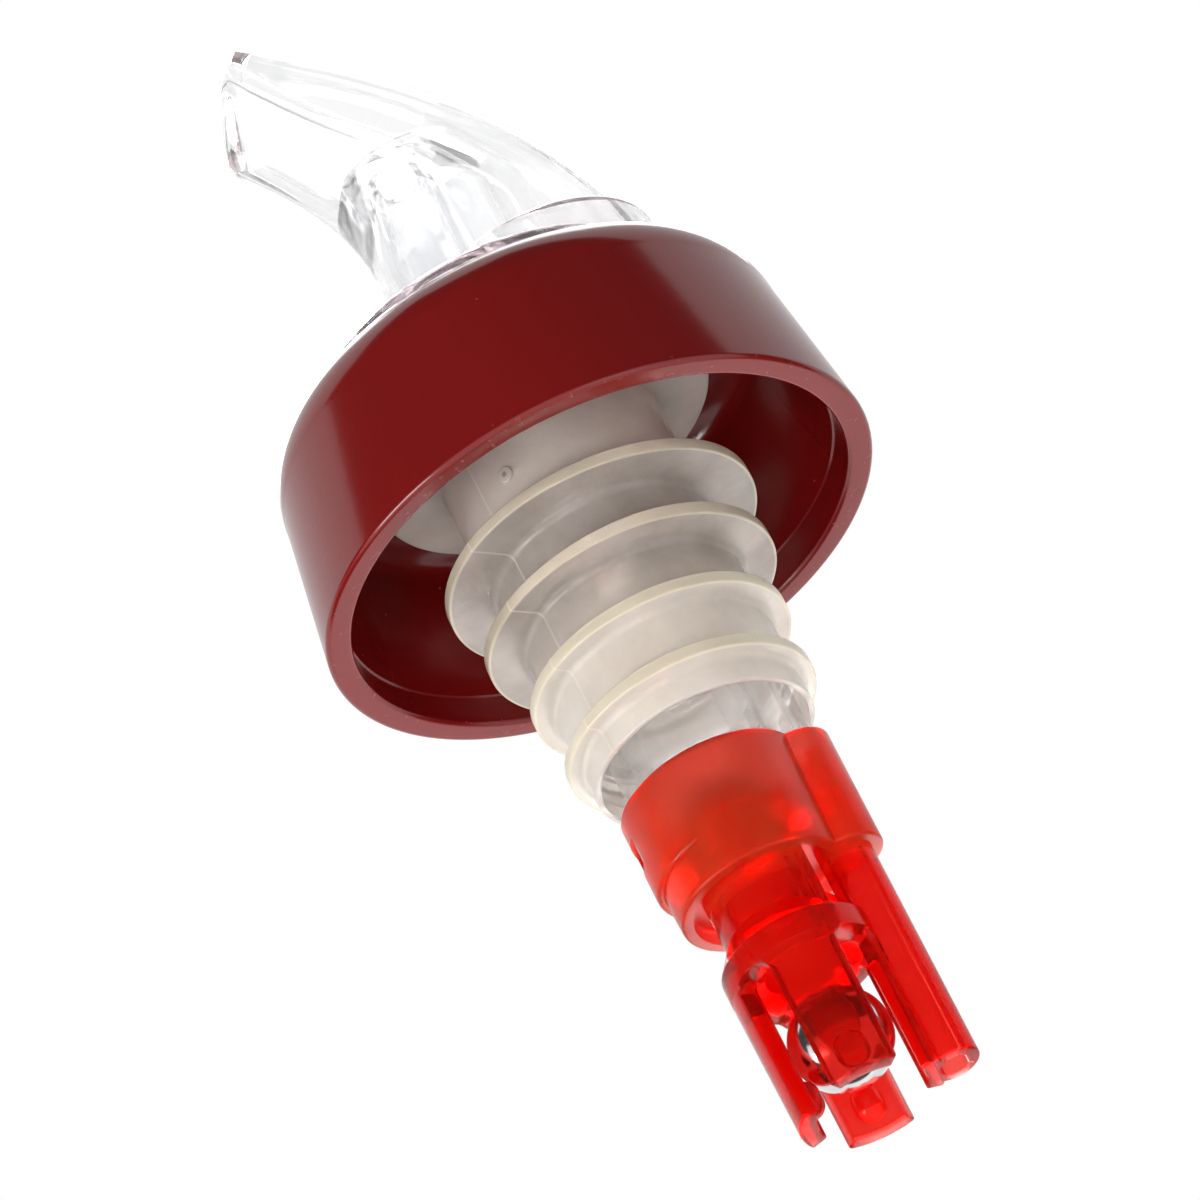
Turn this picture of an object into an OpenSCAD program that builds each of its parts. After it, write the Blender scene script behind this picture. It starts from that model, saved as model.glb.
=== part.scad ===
// Measured bottle pourer: a clear spout and ball chamber, a ribbed stopper, a shroud collar and a
// push-on tail cap with a ball cage. Millimetres. +Z runs up the stopper's axis to the spout, the
// nozzle points to -X and the air tube lies on the +X side. Z = 0 is the face that sits on the
// bottle's lip.

/* [Balls] */
// Diameter of the three steel balls
ball_d = 7.94; // [6.5:0.01:8.6]
// Play between a ball and what it rests on or meets
ball_gap = 0.15; // [0.1:0.05:0.3]
// How far the upper timing ball lies above its lowest place, on the lower one
upper_ball_rise = 18.4; // [0:0.1:22]
// Radial play of a timing ball in the chamber
chamber_play = 0.73; // [0.4:0.01:0.9]
// Radial play of the tail ball in its cage
cage_play = 0.4; // [0.3:0.05:0.6]

/* [Chamber body] */
// How far the chamber's axis lies from the stopper's, towards the nozzle
chamber_shift = 0.8; // [0:0.1:1.2]
// Wall of the chamber tube
tube_wall = 1.4; // [1:0.1:1.8]
// Bore of the air channel
air_bore_d = 2.4; // [1.8:0.1:2.8]
// Wall between the chamber and the air channel
air_web = 0.6; // [0.5:0.1:1]
// Wall round the air channel where it runs beside the tube
air_wall = 0.85; // [0.6:0.05:1.1]
// Wall of the stem outside the air channel
stem_wall = 1.1; // [0.9:0.1:2]
// Length of the stem below the bottle's lip
stem_len = 27; // [24:0.5:28]
// Length of the chamber below the bottle's lip
chamber_len = 39.2; // [37:0.1:41]
// Depth of the stem's socket in the spout
socket_depth = 1.6; // [1.2:0.1:1.8]
// Thickness of the stem's roof above the ball seat
roof_t = 1.1; // [0.8:0.1:1.5]
// Outside of the outlet riser
riser_d = 6.6; // [5.8:0.1:7]
// Bore of the outlet riser
riser_bore_d = 4; // [3:0.1:4.4]
// Height of the outlet riser above the stem
riser_h = 18.4; // [14:0.1:19]
// Width of the snap catch on the tube
catch_w = 3.4; // [2:0.1:4]
// Height of the snap catch
catch_h = 2.4; // [1.5:0.1:3]
// How far the snap catch stands out
catch_out = 0.6; // [0.3:0.05:0.7]
// How far the middle of the snap catch lies above the chamber's end
catch_rise = 2.3; // [2.1:0.1:2.8]

/* [Stopper] */
// Diameter of the flange on the bottle's lip
cork_flange_d = 27.3; // [26:0.1:29]
// Thickness of the flange
cork_flange_t = 1.6; // [1.2:0.1:2]
// Wall of the stopper's sleeve
cork_wall = 0.8; // [0.6:0.05:1.2]
// Length of the stopper below the lip
cork_len = 30.9; // [30:0.1:32]
// Wall of the thin end ring below the stem
cork_end_wall = 0.45; // [0.3:0.05:0.55]
// Diameters of the four fins, from the top down
fin_d = [25.1, 23.4, 20.8, 20]; // [19.5:0.1:27]
// Depth of the first fin below the lip
fin_first = 11.3; // [9:0.1:12]
// Pitch of the fins
fin_pitch = 5.6; // [4.6:0.1:5.8]
// Thickness of a fin at its rim
fin_t = 1; // [0.7:0.05:1.3]
// Thickness of a fin at its root
fin_root_t = 1.7; // [1.4:0.1:2.2]

/* [Collar] */
// Diameter at the collar's rim
collar_d = 44.5; // [43:0.1:48]
// Diameter where the shoulder starts
collar_shoulder_d = 41.1; // [40:0.1:42.5]
// How far the rim hangs below the bottle's lip
collar_drop = 11.4; // [10:0.1:13]
// Height of the boss that bears on the stopper's flange
collar_boss_h = 2.2; // [1:0.1:3]
// Diameter of the boss
collar_boss_d = 24; // [20:0.1:28]
// Wall of the collar's skirt
collar_wall = 2.1; // [1.6:0.1:2.4]
// Thickness of the collar's top
collar_top_t = 2.4; // [2:0.1:2.8]
// Radius of the shoulder
collar_shoulder_r = 5; // [3:0.1:5.5]
// Radius of the corner inside the shoulder
collar_inner_r = 2.9; // [1:0.1:3.4]
// Radius of the rim's edges
collar_edge_r = 0.4; // [0.2:0.05:0.6]
// Height of the rebate inside the rim
rebate_h = 2.6; // [1.5:0.1:4]
// Step of the rebate
rebate_step = 0.15; // [0.1:0.05:0.3]

/* [Spout] */
// Diameter of the base flange
flange_d = 30; // [28.6:0.1:31]
// Thickness of the base flange
flange_t = 2.4; // [2.2:0.1:2.8]
// Radius of the base flange's top edge
flange_edge_r = 0.6; // [0.3:0.1:1]
// Diameter of the plinth under the nozzle
plinth_d = 18.8; // [17:0.1:18.9]
// How far the middle of the plinth lies behind the stopper's axis
plinth_shift = 5.5; // [4.8:0.1:5.5]
// Height of the plinth above the collar
plinth_h = 7; // [5.2:0.1:7.6]
// Length of the nozzle's foot, front to back
horn_base_l = 25.2; // [24:0.1:26]
// Width of the nozzle's foot
horn_base_w = 19; // [17:0.1:21]
// Diameter of the nozzle's tip
horn_tip_d = 9.6; // [9:0.1:11]
// How far the middle of the foot lies behind the stopper's axis
horn_shift = 2.5; // [2:0.1:3]
// How far the nozzle's bend lies behind the stopper's axis
horn_knee_x = 5.3; // [4.8:0.1:5.8]
// Height of the nozzle's bend above the collar
horn_knee_h = 16.1; // [15:0.1:17]
// Reach of the nozzle's tip in front of the stopper's axis
tip_reach = 9.2; // [8.6:0.1:10]
// Height of the nozzle's tip above the collar
tip_h = 32; // [31:0.1:33]
// Angle of the tip's face above level
tip_face_angle = 26; // [20:1:34]
// Radius of the tip's edge
tip_edge_r = 0.9; // [0.4:0.1:1.2]
// Bore of the nozzle
nozzle_bore_d = 5.2; // [4:0.1:5.5]
// Length of the nozzle's straight bore
nozzle_bore_len = 9; // [7:0.5:10]
// Angle of the nozzle's bore below level
nozzle_bore_angle = 55; // [54:1:57]
// Width of the passage where the bore opens into the plenum
throat_d = 5.6; // [5.5:0.1:6]
// Length of the widening passage
throat_len = 7; // [6:0.5:7.5]
// Diameter of the plenum round the riser
plenum_d = 11.2; // [10.4:0.1:11.6]
// How far the plenum lies behind the stopper's axis
plenum_shift = 0.9; // [0.7:0.1:1.1]
// Height of the plenum's upright wall above the collar
plenum_wall_h = 14.8; // [12:0.1:16]
// Diameter of the plenum's top, which lies over the riser
plenum_top_d = 7.8; // [7.4:0.1:8.2]
// Gap between the riser and the plenum's top
plenum_head = 1; // [0.6:0.1:1.4]
// Diameter of the vent hole in the back
vent_d = 2.2; // [1.6:0.1:2.4]
// Height of the vent hole above the stem
vent_rise = 1.5; // [1.3:0.1:1.7]
// Thickness of the plenum's floor above the vent hole
vent_web = 0.9; // [0.7:0.1:1.2]

/* [Tail cap] */
// Play of the pieces that fit in one another
fit_gap = 0.04; // [0.02:0.01:0.06]
// Wall of the sleeve
sleeve_wall = 0.9; // [0.8:0.05:1.1]
// How much smaller the skirt's radius is than the sleeve's
skirt_taper = 0.3; // [0:0.05:0.4]
// How far the sleeve grips the chamber tube
sleeve_grip = 5.4; // [5:0.1:5.8]
// Depth from the chamber's end to the skirt's edge
skirt_depth = 4.7; // [4.4:0.1:5.2]
// Thickness of the cap's floor
floor_t = 3.4; // [2.8:0.1:3.6]
// Bore of the inlet neck
neck_bore_d = 6.2; // [5:0.1:6.4]
// Wall of the inlet neck
neck_wall = 1.45; // [1.2:0.05:1.7]
// How far the neck's flat-sided half runs from its axis towards the air tube
neck_flat_l = 3.5; // [3:0.1:3.8]
// Depth from the chamber's end to the cage's shoulder
neck_len = 7.9; // [7.4:0.1:8.6]
// Height of the cage's sloping shoulder
shoulder_h = 2.2; // [1.2:0.1:2.6]
// Height of the cage's head below the shoulder
head_h = 2; // [1.8:0.1:2.6]
// Length of the cage's legs below the head
leg_len = 11.8; // [11.4:0.1:13]
// Thickness of a leg where it leaves the head
leg_t = 1.6; // [1.4:0.05:2]
// How much thinner a leg is at its end
leg_taper = 0.15; // [0:0.05:0.4]
// Angle that a leg takes up round the cage
leg_angle = 55; // [45:1:62]
// Angle that the leg with the air tube takes up
air_leg_angle = 46; // [40:1:56]
// Radius of the nub inside the end of a leg
nub_r = 1.2; // [1:0.05:1.25]
// Height of the nub's straight middle
nub_h = 0.7; // [0.4:0.1:1.4]
// Height of the nub's foot above the leg's end
nub_rise = 0.8; // [0.4:0.1:1.2]
// How far the nub's middle stands inside the cage's bore
nub_out = 0.1; // [0:0.05:0.2]
// How far the raised pad under the catch stands out
pad_out = 0.3; // [0.2:0.05:0.4]
// How far the pad's axis lies from the sleeve's
pad_shift = 0.8; // [0.6:0.1:1.2]
// Depth of the pad below the sleeve's top
pad_len = 7; // [6:0.1:8]

/* [Hidden] */
$fn = 96;

// Radii across the axis
ball_r = ball_d / 2;
chamber_r = ball_r + chamber_play;
tube_r = chamber_r + tube_wall;
air_r = air_bore_d / 2;
air_tube_r = air_r + air_wall;
air_offset = chamber_r + air_web + air_r;
chamber_x = -chamber_shift;
air_x = chamber_x + air_offset;
stem_r = air_x + air_r + stem_wall;
riser_bore_r = riser_bore_d / 2;
cork_bore_r = stem_r + fit_gap;
cork_r = cork_bore_r + cork_wall;
sleeve_bore_r = tube_r + fit_gap;
sleeve_r = sleeve_bore_r + sleeve_wall;
lobe_bore_r = air_tube_r + fit_gap;
lobe_r = lobe_bore_r + sleeve_wall;
neck_bore_r = neck_bore_d / 2;
neck_r = neck_bore_r + neck_wall;
cage_bore_r = ball_r + cage_play;
head_r = cage_bore_r + leg_t;
leg_end_r = head_r - leg_taper;
nub_axis_r = cage_bore_r - nub_out;

// Heights along the axis
collar_ceiling_z = cork_flange_t + collar_boss_h;
collar_top_z = collar_ceiling_z + collar_top_t;
flange_top_z = collar_top_z + flange_t;
stem_top_z = collar_top_z + socket_depth;
seat_top_z = stem_top_z - roof_t;
seat_base_z = seat_top_z - (chamber_r - riser_bore_r);
riser_top_z = stem_top_z + riser_h;
vent_z = stem_top_z + vent_rise;
plenum_floor_z = vent_z + vent_d / 2 + vent_web;
plenum_wall_z = collar_top_z + plenum_wall_h;
plenum_top_z = riser_top_z + plenum_head;
chamber_end_z = -chamber_len;
sleeve_top_z = chamber_end_z + sleeve_grip;
skirt_z = chamber_end_z - skirt_depth;
floor_z = chamber_end_z - floor_t;
shoulder_z = chamber_end_z - neck_len;
head_z = shoulder_z - shoulder_h;
window_z = head_z - head_h;
leg_end_z = window_z - leg_len;
nub_low_z = leg_end_z + nub_rise + nub_r;
nub_top_z = nub_low_z + nub_h;
catch_z = chamber_end_z + catch_rise;

// A ball rests on a round edge or on the nubs, and meets a cone or an edge at the top of its way
inlet_edge_z = chamber_end_z - (chamber_r - neck_bore_r) / 2;
edge_drop = sqrt(ball_r * ball_r - neck_bore_r * neck_bore_r);
lower_ball_z = inlet_edge_z + edge_drop + ball_gap;
upper_ball_z = lower_ball_z + ball_d + ball_gap + upper_ball_rise;
seat_ball_z = seat_base_z + chamber_r - ball_r * sqrt(2);
nub_drop = sqrt(pow(ball_r + nub_r, 2) - nub_axis_r * nub_axis_r);
tail_ball_z = nub_top_z + nub_drop + ball_gap;
cage_seat_z = window_z + (cage_bore_r - neck_bore_r) / 2;
tail_stop_z = cage_seat_z - edge_drop;

// Travel of the balls from rest
upper_travel = seat_ball_z - ball_gap - upper_ball_z;
timing_travel = upper_travel + upper_ball_rise;
tail_travel = tail_stop_z - ball_gap - tail_ball_z;
echo(timing_travel = timing_travel, upper_travel = upper_travel, tail_travel = tail_travel);
echo(upper_ball_z = upper_ball_z, lower_ball_z = lower_ball_z, tail_ball_z = tail_ball_z);

// Counts, and the length by which a cut runs past a face
horn_rings = 14;
horn_sides = 40;
edge_rings = 3;
arc_steps = 8;
pierce = 1;

function arc(centre, r, from, to, steps = arc_steps) =
    [for (i = [0:steps]) let (a = from + (to - from) * i / steps) centre + r * [cos(a), sin(a)]];

function blend(t) = (1 - cos(180 * t)) / 2;

// The nozzle: rings along a curve from the foot up to the tip, oval at the foot and round at the tip
horn_foot = [horn_shift, collar_top_z + flange_t / 2];
horn_knee = [horn_knee_x, collar_top_z + horn_knee_h];
horn_tip = [-tip_reach, collar_top_z + tip_h];
tip_normal = [-cos(tip_face_angle), sin(tip_face_angle)];
horn_swell = 1.3;

function horn_centre(t) =
    (1 - t) * (1 - t) * horn_foot + 2 * t * (1 - t) * horn_knee + t * t * horn_tip;
function horn_heading(t) =
    let (d = (1 - t) * (horn_knee - horn_foot) + t * (horn_tip - horn_knee)) atan2(d[1], -d[0]);
function horn_face(t) = 90 + (tip_face_angle - 90) * blend(t);
function horn_half(t, foot) = (horn_tip_d + (foot - horn_tip_d) * pow(1 - t, horn_swell)) / 2;

// One ring of points across the nozzle, drawn in and moved ahead for the tip's rounded edge
function horn_ring(t, inset = 0, ahead = 0) =
    let (face = horn_face(t), wide = horn_half(t, horn_base_w) - inset,
         tall = horn_half(t, horn_base_l) / cos(horn_heading(t) - face) - inset,
         c = horn_centre(t) + ahead * tip_normal)
    [for (j = [0:horn_sides - 1]) let (a = 360 * j / horn_sides)
        [c[0] + tall * cos(a) * sin(face), wide * sin(a), c[1] + tall * cos(a) * cos(face)]];

module horn() {
    rings = concat([for (i = [0:horn_rings]) horn_ring(i / horn_rings)],
                   [for (i = [1:edge_rings]) let (a = 90 * i / edge_rings)
                       horn_ring(1, tip_edge_r * (1 - cos(a)), tip_edge_r * sin(a))]);
    last = len(rings) - 1;
    sides = [for (i = [0:last - 1], j = [0:horn_sides - 1])
        let (k = (j + 1) % horn_sides, low = i * horn_sides, high = low + horn_sides)
        each [[low + j, high + j, low + k], [low + k, high + j, high + k]]];
    foot = [[for (j = [0:horn_sides - 1]) j]];
    top = [[for (j = [horn_sides - 1:-1:0]) last * horn_sides + j]];
    polyhedron([for (ring = rings) each ring], concat(foot, sides, top));
}

module base_flange() {
    r = flange_d / 2;
    rotate_extrude() polygon(concat([[0, collar_top_z], [r, collar_top_z]],
        arc([r - flange_edge_r, flange_top_z - flange_edge_r], flange_edge_r, 0, 90),
        [[0, flange_top_z]]));
}

// The nozzle on its plinth, trimmed flush with the flange's edge at the back
module horn_on_plinth() {
    intersection() {
        union() {
            horn();
            translate([plinth_shift, 0, collar_top_z]) cylinder(d = plinth_d, h = plinth_h);
        }
        translate([0, 0, collar_top_z]) cylinder(d = flange_d, h = tip_h + horn_tip_d);
    }
}

// The room round the riser: upright at the foot, then its back slopes in over the riser's top
module plenum() {
    skin = 0.01;
    translate([plenum_shift, 0, plenum_floor_z]) cylinder(d = plenum_d, h = plenum_wall_z - plenum_floor_z);
    hull($fn = 48) {
        translate([plenum_shift, 0, plenum_wall_z - skin]) cylinder(d = plenum_d, h = skin);
        translate([chamber_x, 0, plenum_top_z - skin]) cylinder(d = plenum_top_d, h = skin);
    }
}

// The bore from the tip, then a widening passage into the plenum
module nozzle_passage() {
    tip = horn_tip + tip_edge_r * tip_normal;
    translate([tip[0], 0, tip[1]]) rotate([0, 90 + nozzle_bore_angle, 0]) {
        translate([0, 0, -horn_tip_d / 2]) cylinder(d = nozzle_bore_d, h = nozzle_bore_len + horn_tip_d / 2);
        translate([0, 0, nozzle_bore_len]) cylinder(d1 = nozzle_bore_d, d2 = throat_d, h = throat_len);
    }
}

// The air way: up from the stem's channel, then out through the back
module vent() {
    translate([air_x, 0, stem_top_z - pierce]) cylinder(d = vent_d, h = vent_rise + pierce);
    translate([air_x, 0, vent_z]) rotate([0, 90, 0]) cylinder(d = vent_d, h = flange_d);
}

module spout() {
    color("whitesmoke", 0.35) difference() {
        union() {
            base_flange();
            horn_on_plinth();
        }
        translate([0, 0, collar_top_z - pierce]) cylinder(r = stem_r + fit_gap, h = socket_depth + pierce);
        translate([chamber_x, 0, stem_top_z - pierce])
            cylinder(d = riser_d + 2 * fit_gap, h = plenum_floor_z - stem_top_z + 2 * pierce);
        plenum();
        nozzle_passage();
        vent();
    }
}

module collar() {
    rim_z = -collar_drop;
    rim_r = collar_d / 2;
    shoulder = collar_shoulder_d / 2;
    inner_rim = rim_r - collar_wall;
    inner_top = shoulder - collar_wall;
    hole_r = stem_r + fit_gap;
    color("darkred") rotate_extrude() polygon(concat(
        arc([rim_r - collar_edge_r, rim_z + collar_edge_r], collar_edge_r, -90, 0, 4),
        arc([shoulder - collar_shoulder_r, collar_top_z - collar_shoulder_r], collar_shoulder_r, 0, 90),
        [[hole_r, collar_top_z], [hole_r, cork_flange_t], [collar_boss_d / 2, cork_flange_t],
         [collar_boss_d / 2, collar_ceiling_z]],
        arc([inner_top - collar_inner_r, collar_ceiling_z - collar_inner_r], collar_inner_r, 90, 0),
        [[inner_rim - rebate_step, rim_z + rebate_h], [inner_rim, rim_z + rebate_h]],
        arc([inner_rim + collar_edge_r, rim_z + collar_edge_r], collar_edge_r, 180, 270, 4)));
}

module fin(z, d) {
    r = d / 2;
    root_r = cork_bore_r + cork_wall / 2;
    edge = fin_t / 4;
    translate([0, 0, z]) rotate_extrude() polygon(concat(
        [[root_r, -fin_root_t / 2]],
        arc([r - edge, edge - fin_t / 2], edge, -90, 0, 3),
        arc([r - edge, fin_t / 2 - edge], edge, 0, 90, 3),
        [[root_r, fin_root_t / 2]]));
}

module stopper() {
    flange_r = cork_flange_d / 2;
    edge = cork_flange_t / 4;
    root_r = cork_flange_t;
    color("ivory", 0.75) difference() {
        union() {
            rotate_extrude() polygon(concat(
                [[cork_bore_r, cork_flange_t], [cork_bore_r, -cork_len], [cork_r, -cork_len]],
                arc([cork_r + root_r, -root_r], root_r, 180, 90),
                arc([flange_r - edge, edge], edge, -90, 0, 3),
                arc([flange_r - edge, cork_flange_t - edge], edge, 0, 90, 3)));
            for (i = [0:len(fin_d) - 1]) fin(-fin_first - i * fin_pitch, fin_d[i]);
        }
        translate([0, 0, -cork_len - pierce])
            cylinder(r = cork_r - cork_end_wall, h = cork_len - stem_len + pierce);
    }
}

// Outline of the chamber tube with the air tube beside it
module twin_outline(tube, air) {
    translate([chamber_x, 0]) circle(r = tube);
    translate([air_x, 0]) circle(r = air);
    translate([chamber_x, -air]) square([air_offset, 2 * air]);
}

// A catch with a sloping lower face, which snaps into the sleeve's window
module catch() {
    translate([chamber_x - tube_r, catch_w / 2, catch_z]) rotate([90, 0, 0]) linear_extrude(catch_w)
        polygon([[tube_wall / 2, catch_h / 2], [-catch_out, catch_h / 2], [-catch_out, 0],
                 [tube_wall / 2, -catch_h / 2]]);
}

module chamber_body() {
    color("whitesmoke", 0.35) difference() {
        union() {
            translate([0, 0, -stem_len]) cylinder(r = stem_r, h = stem_len + stem_top_z);
            translate([0, 0, chamber_end_z]) linear_extrude(chamber_len - stem_len / 2)
                twin_outline(tube_r, air_tube_r);
            translate([chamber_x, 0, seat_base_z]) cylinder(d = riser_d, h = riser_top_z - seat_base_z);
            catch();
        }
        translate([chamber_x, 0, chamber_end_z - pierce])
            cylinder(r = chamber_r, h = seat_base_z - chamber_end_z + pierce);
        translate([chamber_x, 0, seat_base_z])
            cylinder(r1 = chamber_r, r2 = riser_bore_r, h = seat_top_z - seat_base_z);
        translate([chamber_x, 0, seat_base_z])
            cylinder(r = riser_bore_r, h = riser_top_z - seat_base_z + pierce);
        translate([air_x, 0, chamber_end_z - pierce])
            cylinder(r = air_r, h = stem_top_z - chamber_end_z + 2 * pierce);
    }
}

// Solid sleeve and lobe, with the raised pad that runs down past the catch
module sleeve_block() {
    h = sleeve_top_z - skirt_z;
    translate([chamber_x, 0, skirt_z]) cylinder(r1 = sleeve_r - skirt_taper, r2 = sleeve_r, h = h);
    translate([air_x, 0, skirt_z]) cylinder(r = lobe_r, h = h);
    translate([chamber_x, -lobe_r, skirt_z]) cube([air_offset, 2 * lobe_r, h]);
    translate([chamber_x - pad_shift, 0, sleeve_top_z - pad_len])
        cylinder(r = sleeve_r + pad_out - pad_shift, h = pad_len);
}

// A wedge from the cage's axis that bounds one leg
module leg_wedge(turn, angle) {
    reach = 2 * head_r;
    rotate(turn) polygon([[0, 0], reach * [cos(angle / 2), -sin(angle / 2)],
                          reach * [cos(angle / 2), sin(angle / 2)]]);
}

// Sloping shoulder, head and four legs as one tapering shell, solid inside
module cage_shell() {
    translate([0, 0, head_z]) cylinder(r1 = head_r, r2 = neck_r, h = shoulder_h);
    translate([0, 0, window_z]) cylinder(r = head_r, h = head_h);
    intersection() {
        translate([0, 0, leg_end_z]) cylinder(r1 = leg_end_r, r2 = head_r, h = leg_len);
        translate([0, 0, leg_end_z]) linear_extrude(leg_len) {
            for (turn = [90, 180, 270]) leg_wedge(turn, leg_angle);
            leg_wedge(0, air_leg_angle);
        }
    }
}

// The tube that carries the air channel down behind the cage, with its web to the leg
module air_leg() {
    translate([air_offset, 0, leg_end_z]) cylinder(r = air_tube_r, h = floor_z - leg_end_z);
    translate([cage_bore_r, -air_r, leg_end_z]) cube([air_offset - cage_bore_r, air_bore_d, leg_len + head_h]);
}

// A bump with round ends inside the end of a leg, which holds the ball
module nub() {
    translate([nub_axis_r, 0, nub_low_z]) cylinder(r = nub_r, h = nub_h);
    for (z = [nub_low_z, nub_top_z]) translate([nub_axis_r, 0, z]) sphere(r = nub_r);
}

// Outline of the neck, round in front and flat-sided towards the air tube
module neck_outline() {
    circle(r = neck_r);
    translate([0, -neck_r]) square([neck_flat_l, 2 * neck_r]);
}

// The open space round the neck inside the skirt
module skirt_recess() {
    translate([0, 0, skirt_z - pierce]) linear_extrude(floor_z - skirt_z + pierce) difference() {
        twin_outline(sleeve_bore_r - skirt_taper, lobe_bore_r);
        translate([chamber_x, 0]) neck_outline();
        translate([air_x, 0]) circle(r = air_tube_r);
    }
}

module catch_window() {
    w = catch_w + 2 * fit_gap;
    h = catch_h + 2 * fit_gap;
    translate([chamber_x - sleeve_r - 2 * pad_out, -w / 2, catch_z - h / 2])
        cube([2 * sleeve_wall + 2 * pad_out, w, h]);
}

// Inlet bore with its lead-in, cage bore with its seat, and the air channel
module cap_ways() {
    through = chamber_end_z - leg_end_z + 2 * pierce;
    translate([0, 0, leg_end_z - pierce]) cylinder(r = neck_bore_r, h = through);
    translate([0, 0, inlet_edge_z])
        cylinder(r1 = neck_bore_r, r2 = chamber_r, h = chamber_end_z - inlet_edge_z);
    translate([0, 0, leg_end_z - pierce]) cylinder(r = cage_bore_r, h = leg_len + pierce);
    translate([0, 0, window_z]) cylinder(r1 = cage_bore_r, r2 = neck_bore_r, h = cage_seat_z - window_z);
    translate([air_offset, 0, leg_end_z - pierce]) cylinder(r = air_r, h = through);
}

module tail_cap() {
    color("red", 0.7) {
        difference() {
            union() {
                sleeve_block();
                translate([chamber_x, 0, 0]) {
                    translate([0, 0, head_z]) linear_extrude(floor_z - head_z + pierce) neck_outline();
                    cage_shell();
                    air_leg();
                }
            }
            translate([0, 0, chamber_end_z]) linear_extrude(sleeve_grip + pierce)
                twin_outline(sleeve_bore_r, lobe_bore_r);
            skirt_recess();
            catch_window();
            translate([chamber_x, 0, 0]) cap_ways();
        }
        for (turn = [90, 180, 270]) translate([chamber_x, 0, 0]) rotate([0, 0, turn]) nub();
    }
}

module ball(z) {
    color("silver") translate([chamber_x, 0, z]) sphere(d = ball_d);
}

module tail_ball() {
    ball(tail_ball_z);
}

module lower_timing_ball() {
    ball(lower_ball_z);
}

module upper_timing_ball() {
    ball(upper_ball_z);
}

spout();
collar();
stopper();
chamber_body();
tail_cap();
tail_ball();
lower_timing_ball();
upper_timing_ball();
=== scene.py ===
"""A measured bottle pourer: smooth moulded pieces and finishes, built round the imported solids.

Lengths are worked out in millimetres and scaled to metres when a piece is finished.
+Z runs up the stopper's axis to the spout, and the nozzle points to -X.
"""

import math
from types import SimpleNamespace

import bmesh
import bpy
from bpy.props import FloatProperty, FloatVectorProperty, PointerProperty
from mathutils import Matrix, Vector


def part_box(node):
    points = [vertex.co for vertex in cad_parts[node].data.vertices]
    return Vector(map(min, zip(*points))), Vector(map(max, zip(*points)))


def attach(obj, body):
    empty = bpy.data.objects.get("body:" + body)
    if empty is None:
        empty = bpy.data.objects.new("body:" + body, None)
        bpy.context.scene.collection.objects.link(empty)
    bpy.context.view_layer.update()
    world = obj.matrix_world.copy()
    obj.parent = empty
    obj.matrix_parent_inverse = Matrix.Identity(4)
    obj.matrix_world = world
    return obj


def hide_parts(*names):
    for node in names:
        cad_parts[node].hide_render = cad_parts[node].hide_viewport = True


bl_info = {
    "name": "Measured bottle pourer",
    "version": (1, 0, 0),
    "blender": (4, 5, 0),
    "location": "3D View > Sidebar > Pourer",
    "description": "Moulded pieces, finishes and studio for a ball-timed bottle pourer",
    "category": "Object",
}

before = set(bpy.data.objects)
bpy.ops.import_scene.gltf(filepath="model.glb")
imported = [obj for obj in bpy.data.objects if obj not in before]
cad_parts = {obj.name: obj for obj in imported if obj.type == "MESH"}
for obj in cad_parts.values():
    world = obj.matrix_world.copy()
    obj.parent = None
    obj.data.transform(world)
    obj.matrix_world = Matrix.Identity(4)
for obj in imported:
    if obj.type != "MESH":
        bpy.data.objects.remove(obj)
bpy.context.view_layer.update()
MM = 0.001
TURN_STEPS = 192
SHARP_ANGLE = math.radians(32)
MERGE_MM = 1e-4
BORE_STEPS = 64
# How far a cutting solid runs past what it cuts, in millimetres
PAST = 1

CAMERA_MM = (-57.6, -638.4, -397.5)
CAMERA_RIGHT, CAMERA_UP = (0.9065, 0.1558, -0.3924), (0.4156, -0.4939, 0.7638)
SENSOR_MM = 36
LIGHT_BOUNCES = 18
LAMP_AIM = (0, 0, -0.01)
# Each lamp's place and size in metres, and the setting that holds its power
LAMPS = {"key": ((-0.85, -0.4, -0.5), 0.5, "key"), "fill": ((0.35, -0.65, -0.75), 0.5, "fill"),
         "top": ((0.1, 0.6, 0.8), 0.6, "fill"), "front": ((-0.2, -0.8, -0.5), 0.4, "front"),
         "back": ((0.25, 0.9, -0.3), 0.7, "back")}

# Shades of wear, dust and mould marks
COLLAR_WORN, COLLAR_DUST = (0.4, 0.06, 0.05), (0.45, 0.25, 0.24)
MILK_CLOUD, MILK_DUST = (0.74, 0.73, 0.72), (0.16, 0.10, 0.08)
MILK_SEAM, MILK_DOT = (0.46, 0.40, 0.36), (0.12, 0.07, 0.06)
CAP_TORN, CAP_GLASS = (0.12, 0.005, 0.004), (1.0, 0.97, 0.96, 1)
STEEL_HAZE = (0.60, 0.60, 0.62)

# Heights or distances, in millimetres, between which a finish changes
# The first pair bounds the painted reflection of the red collar in the spout's foot
SPOUT_PAINTED_RED_MM, TUBE_SOLID_MM = (7, 15), (-20, 8)
COLLAR_RIM_MM, CAP_THIN_MM = (-11.3, -10.2), (-46, -43.5)
# The stopper's first pair bounds the painted light inside its lower end
STOPPER_PAINTED_LIGHT_MM, STOPPER_INSIDE_MM = (-24, -20), (8.45, 8.6)
STEM_FOOT_MM, STEM_HEAD_MM = (-24, -18), (-10.5, -8)
FIN_RIM_MM, SEAM_MM, DOT_MM, TORN_MM = (0.25, 0.12), (0.05, 0.13), (0.18, 0.3), (0.3, 0.6)
CAP_GATE_MM = (8.59, -0.77, -39.4)


# Properties


def number(name, description, value, unit="NONE"):
    """A value that a user can change, in its own unit."""
    return FloatProperty(name=name, description=description, default=value, unit=unit)


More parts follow.
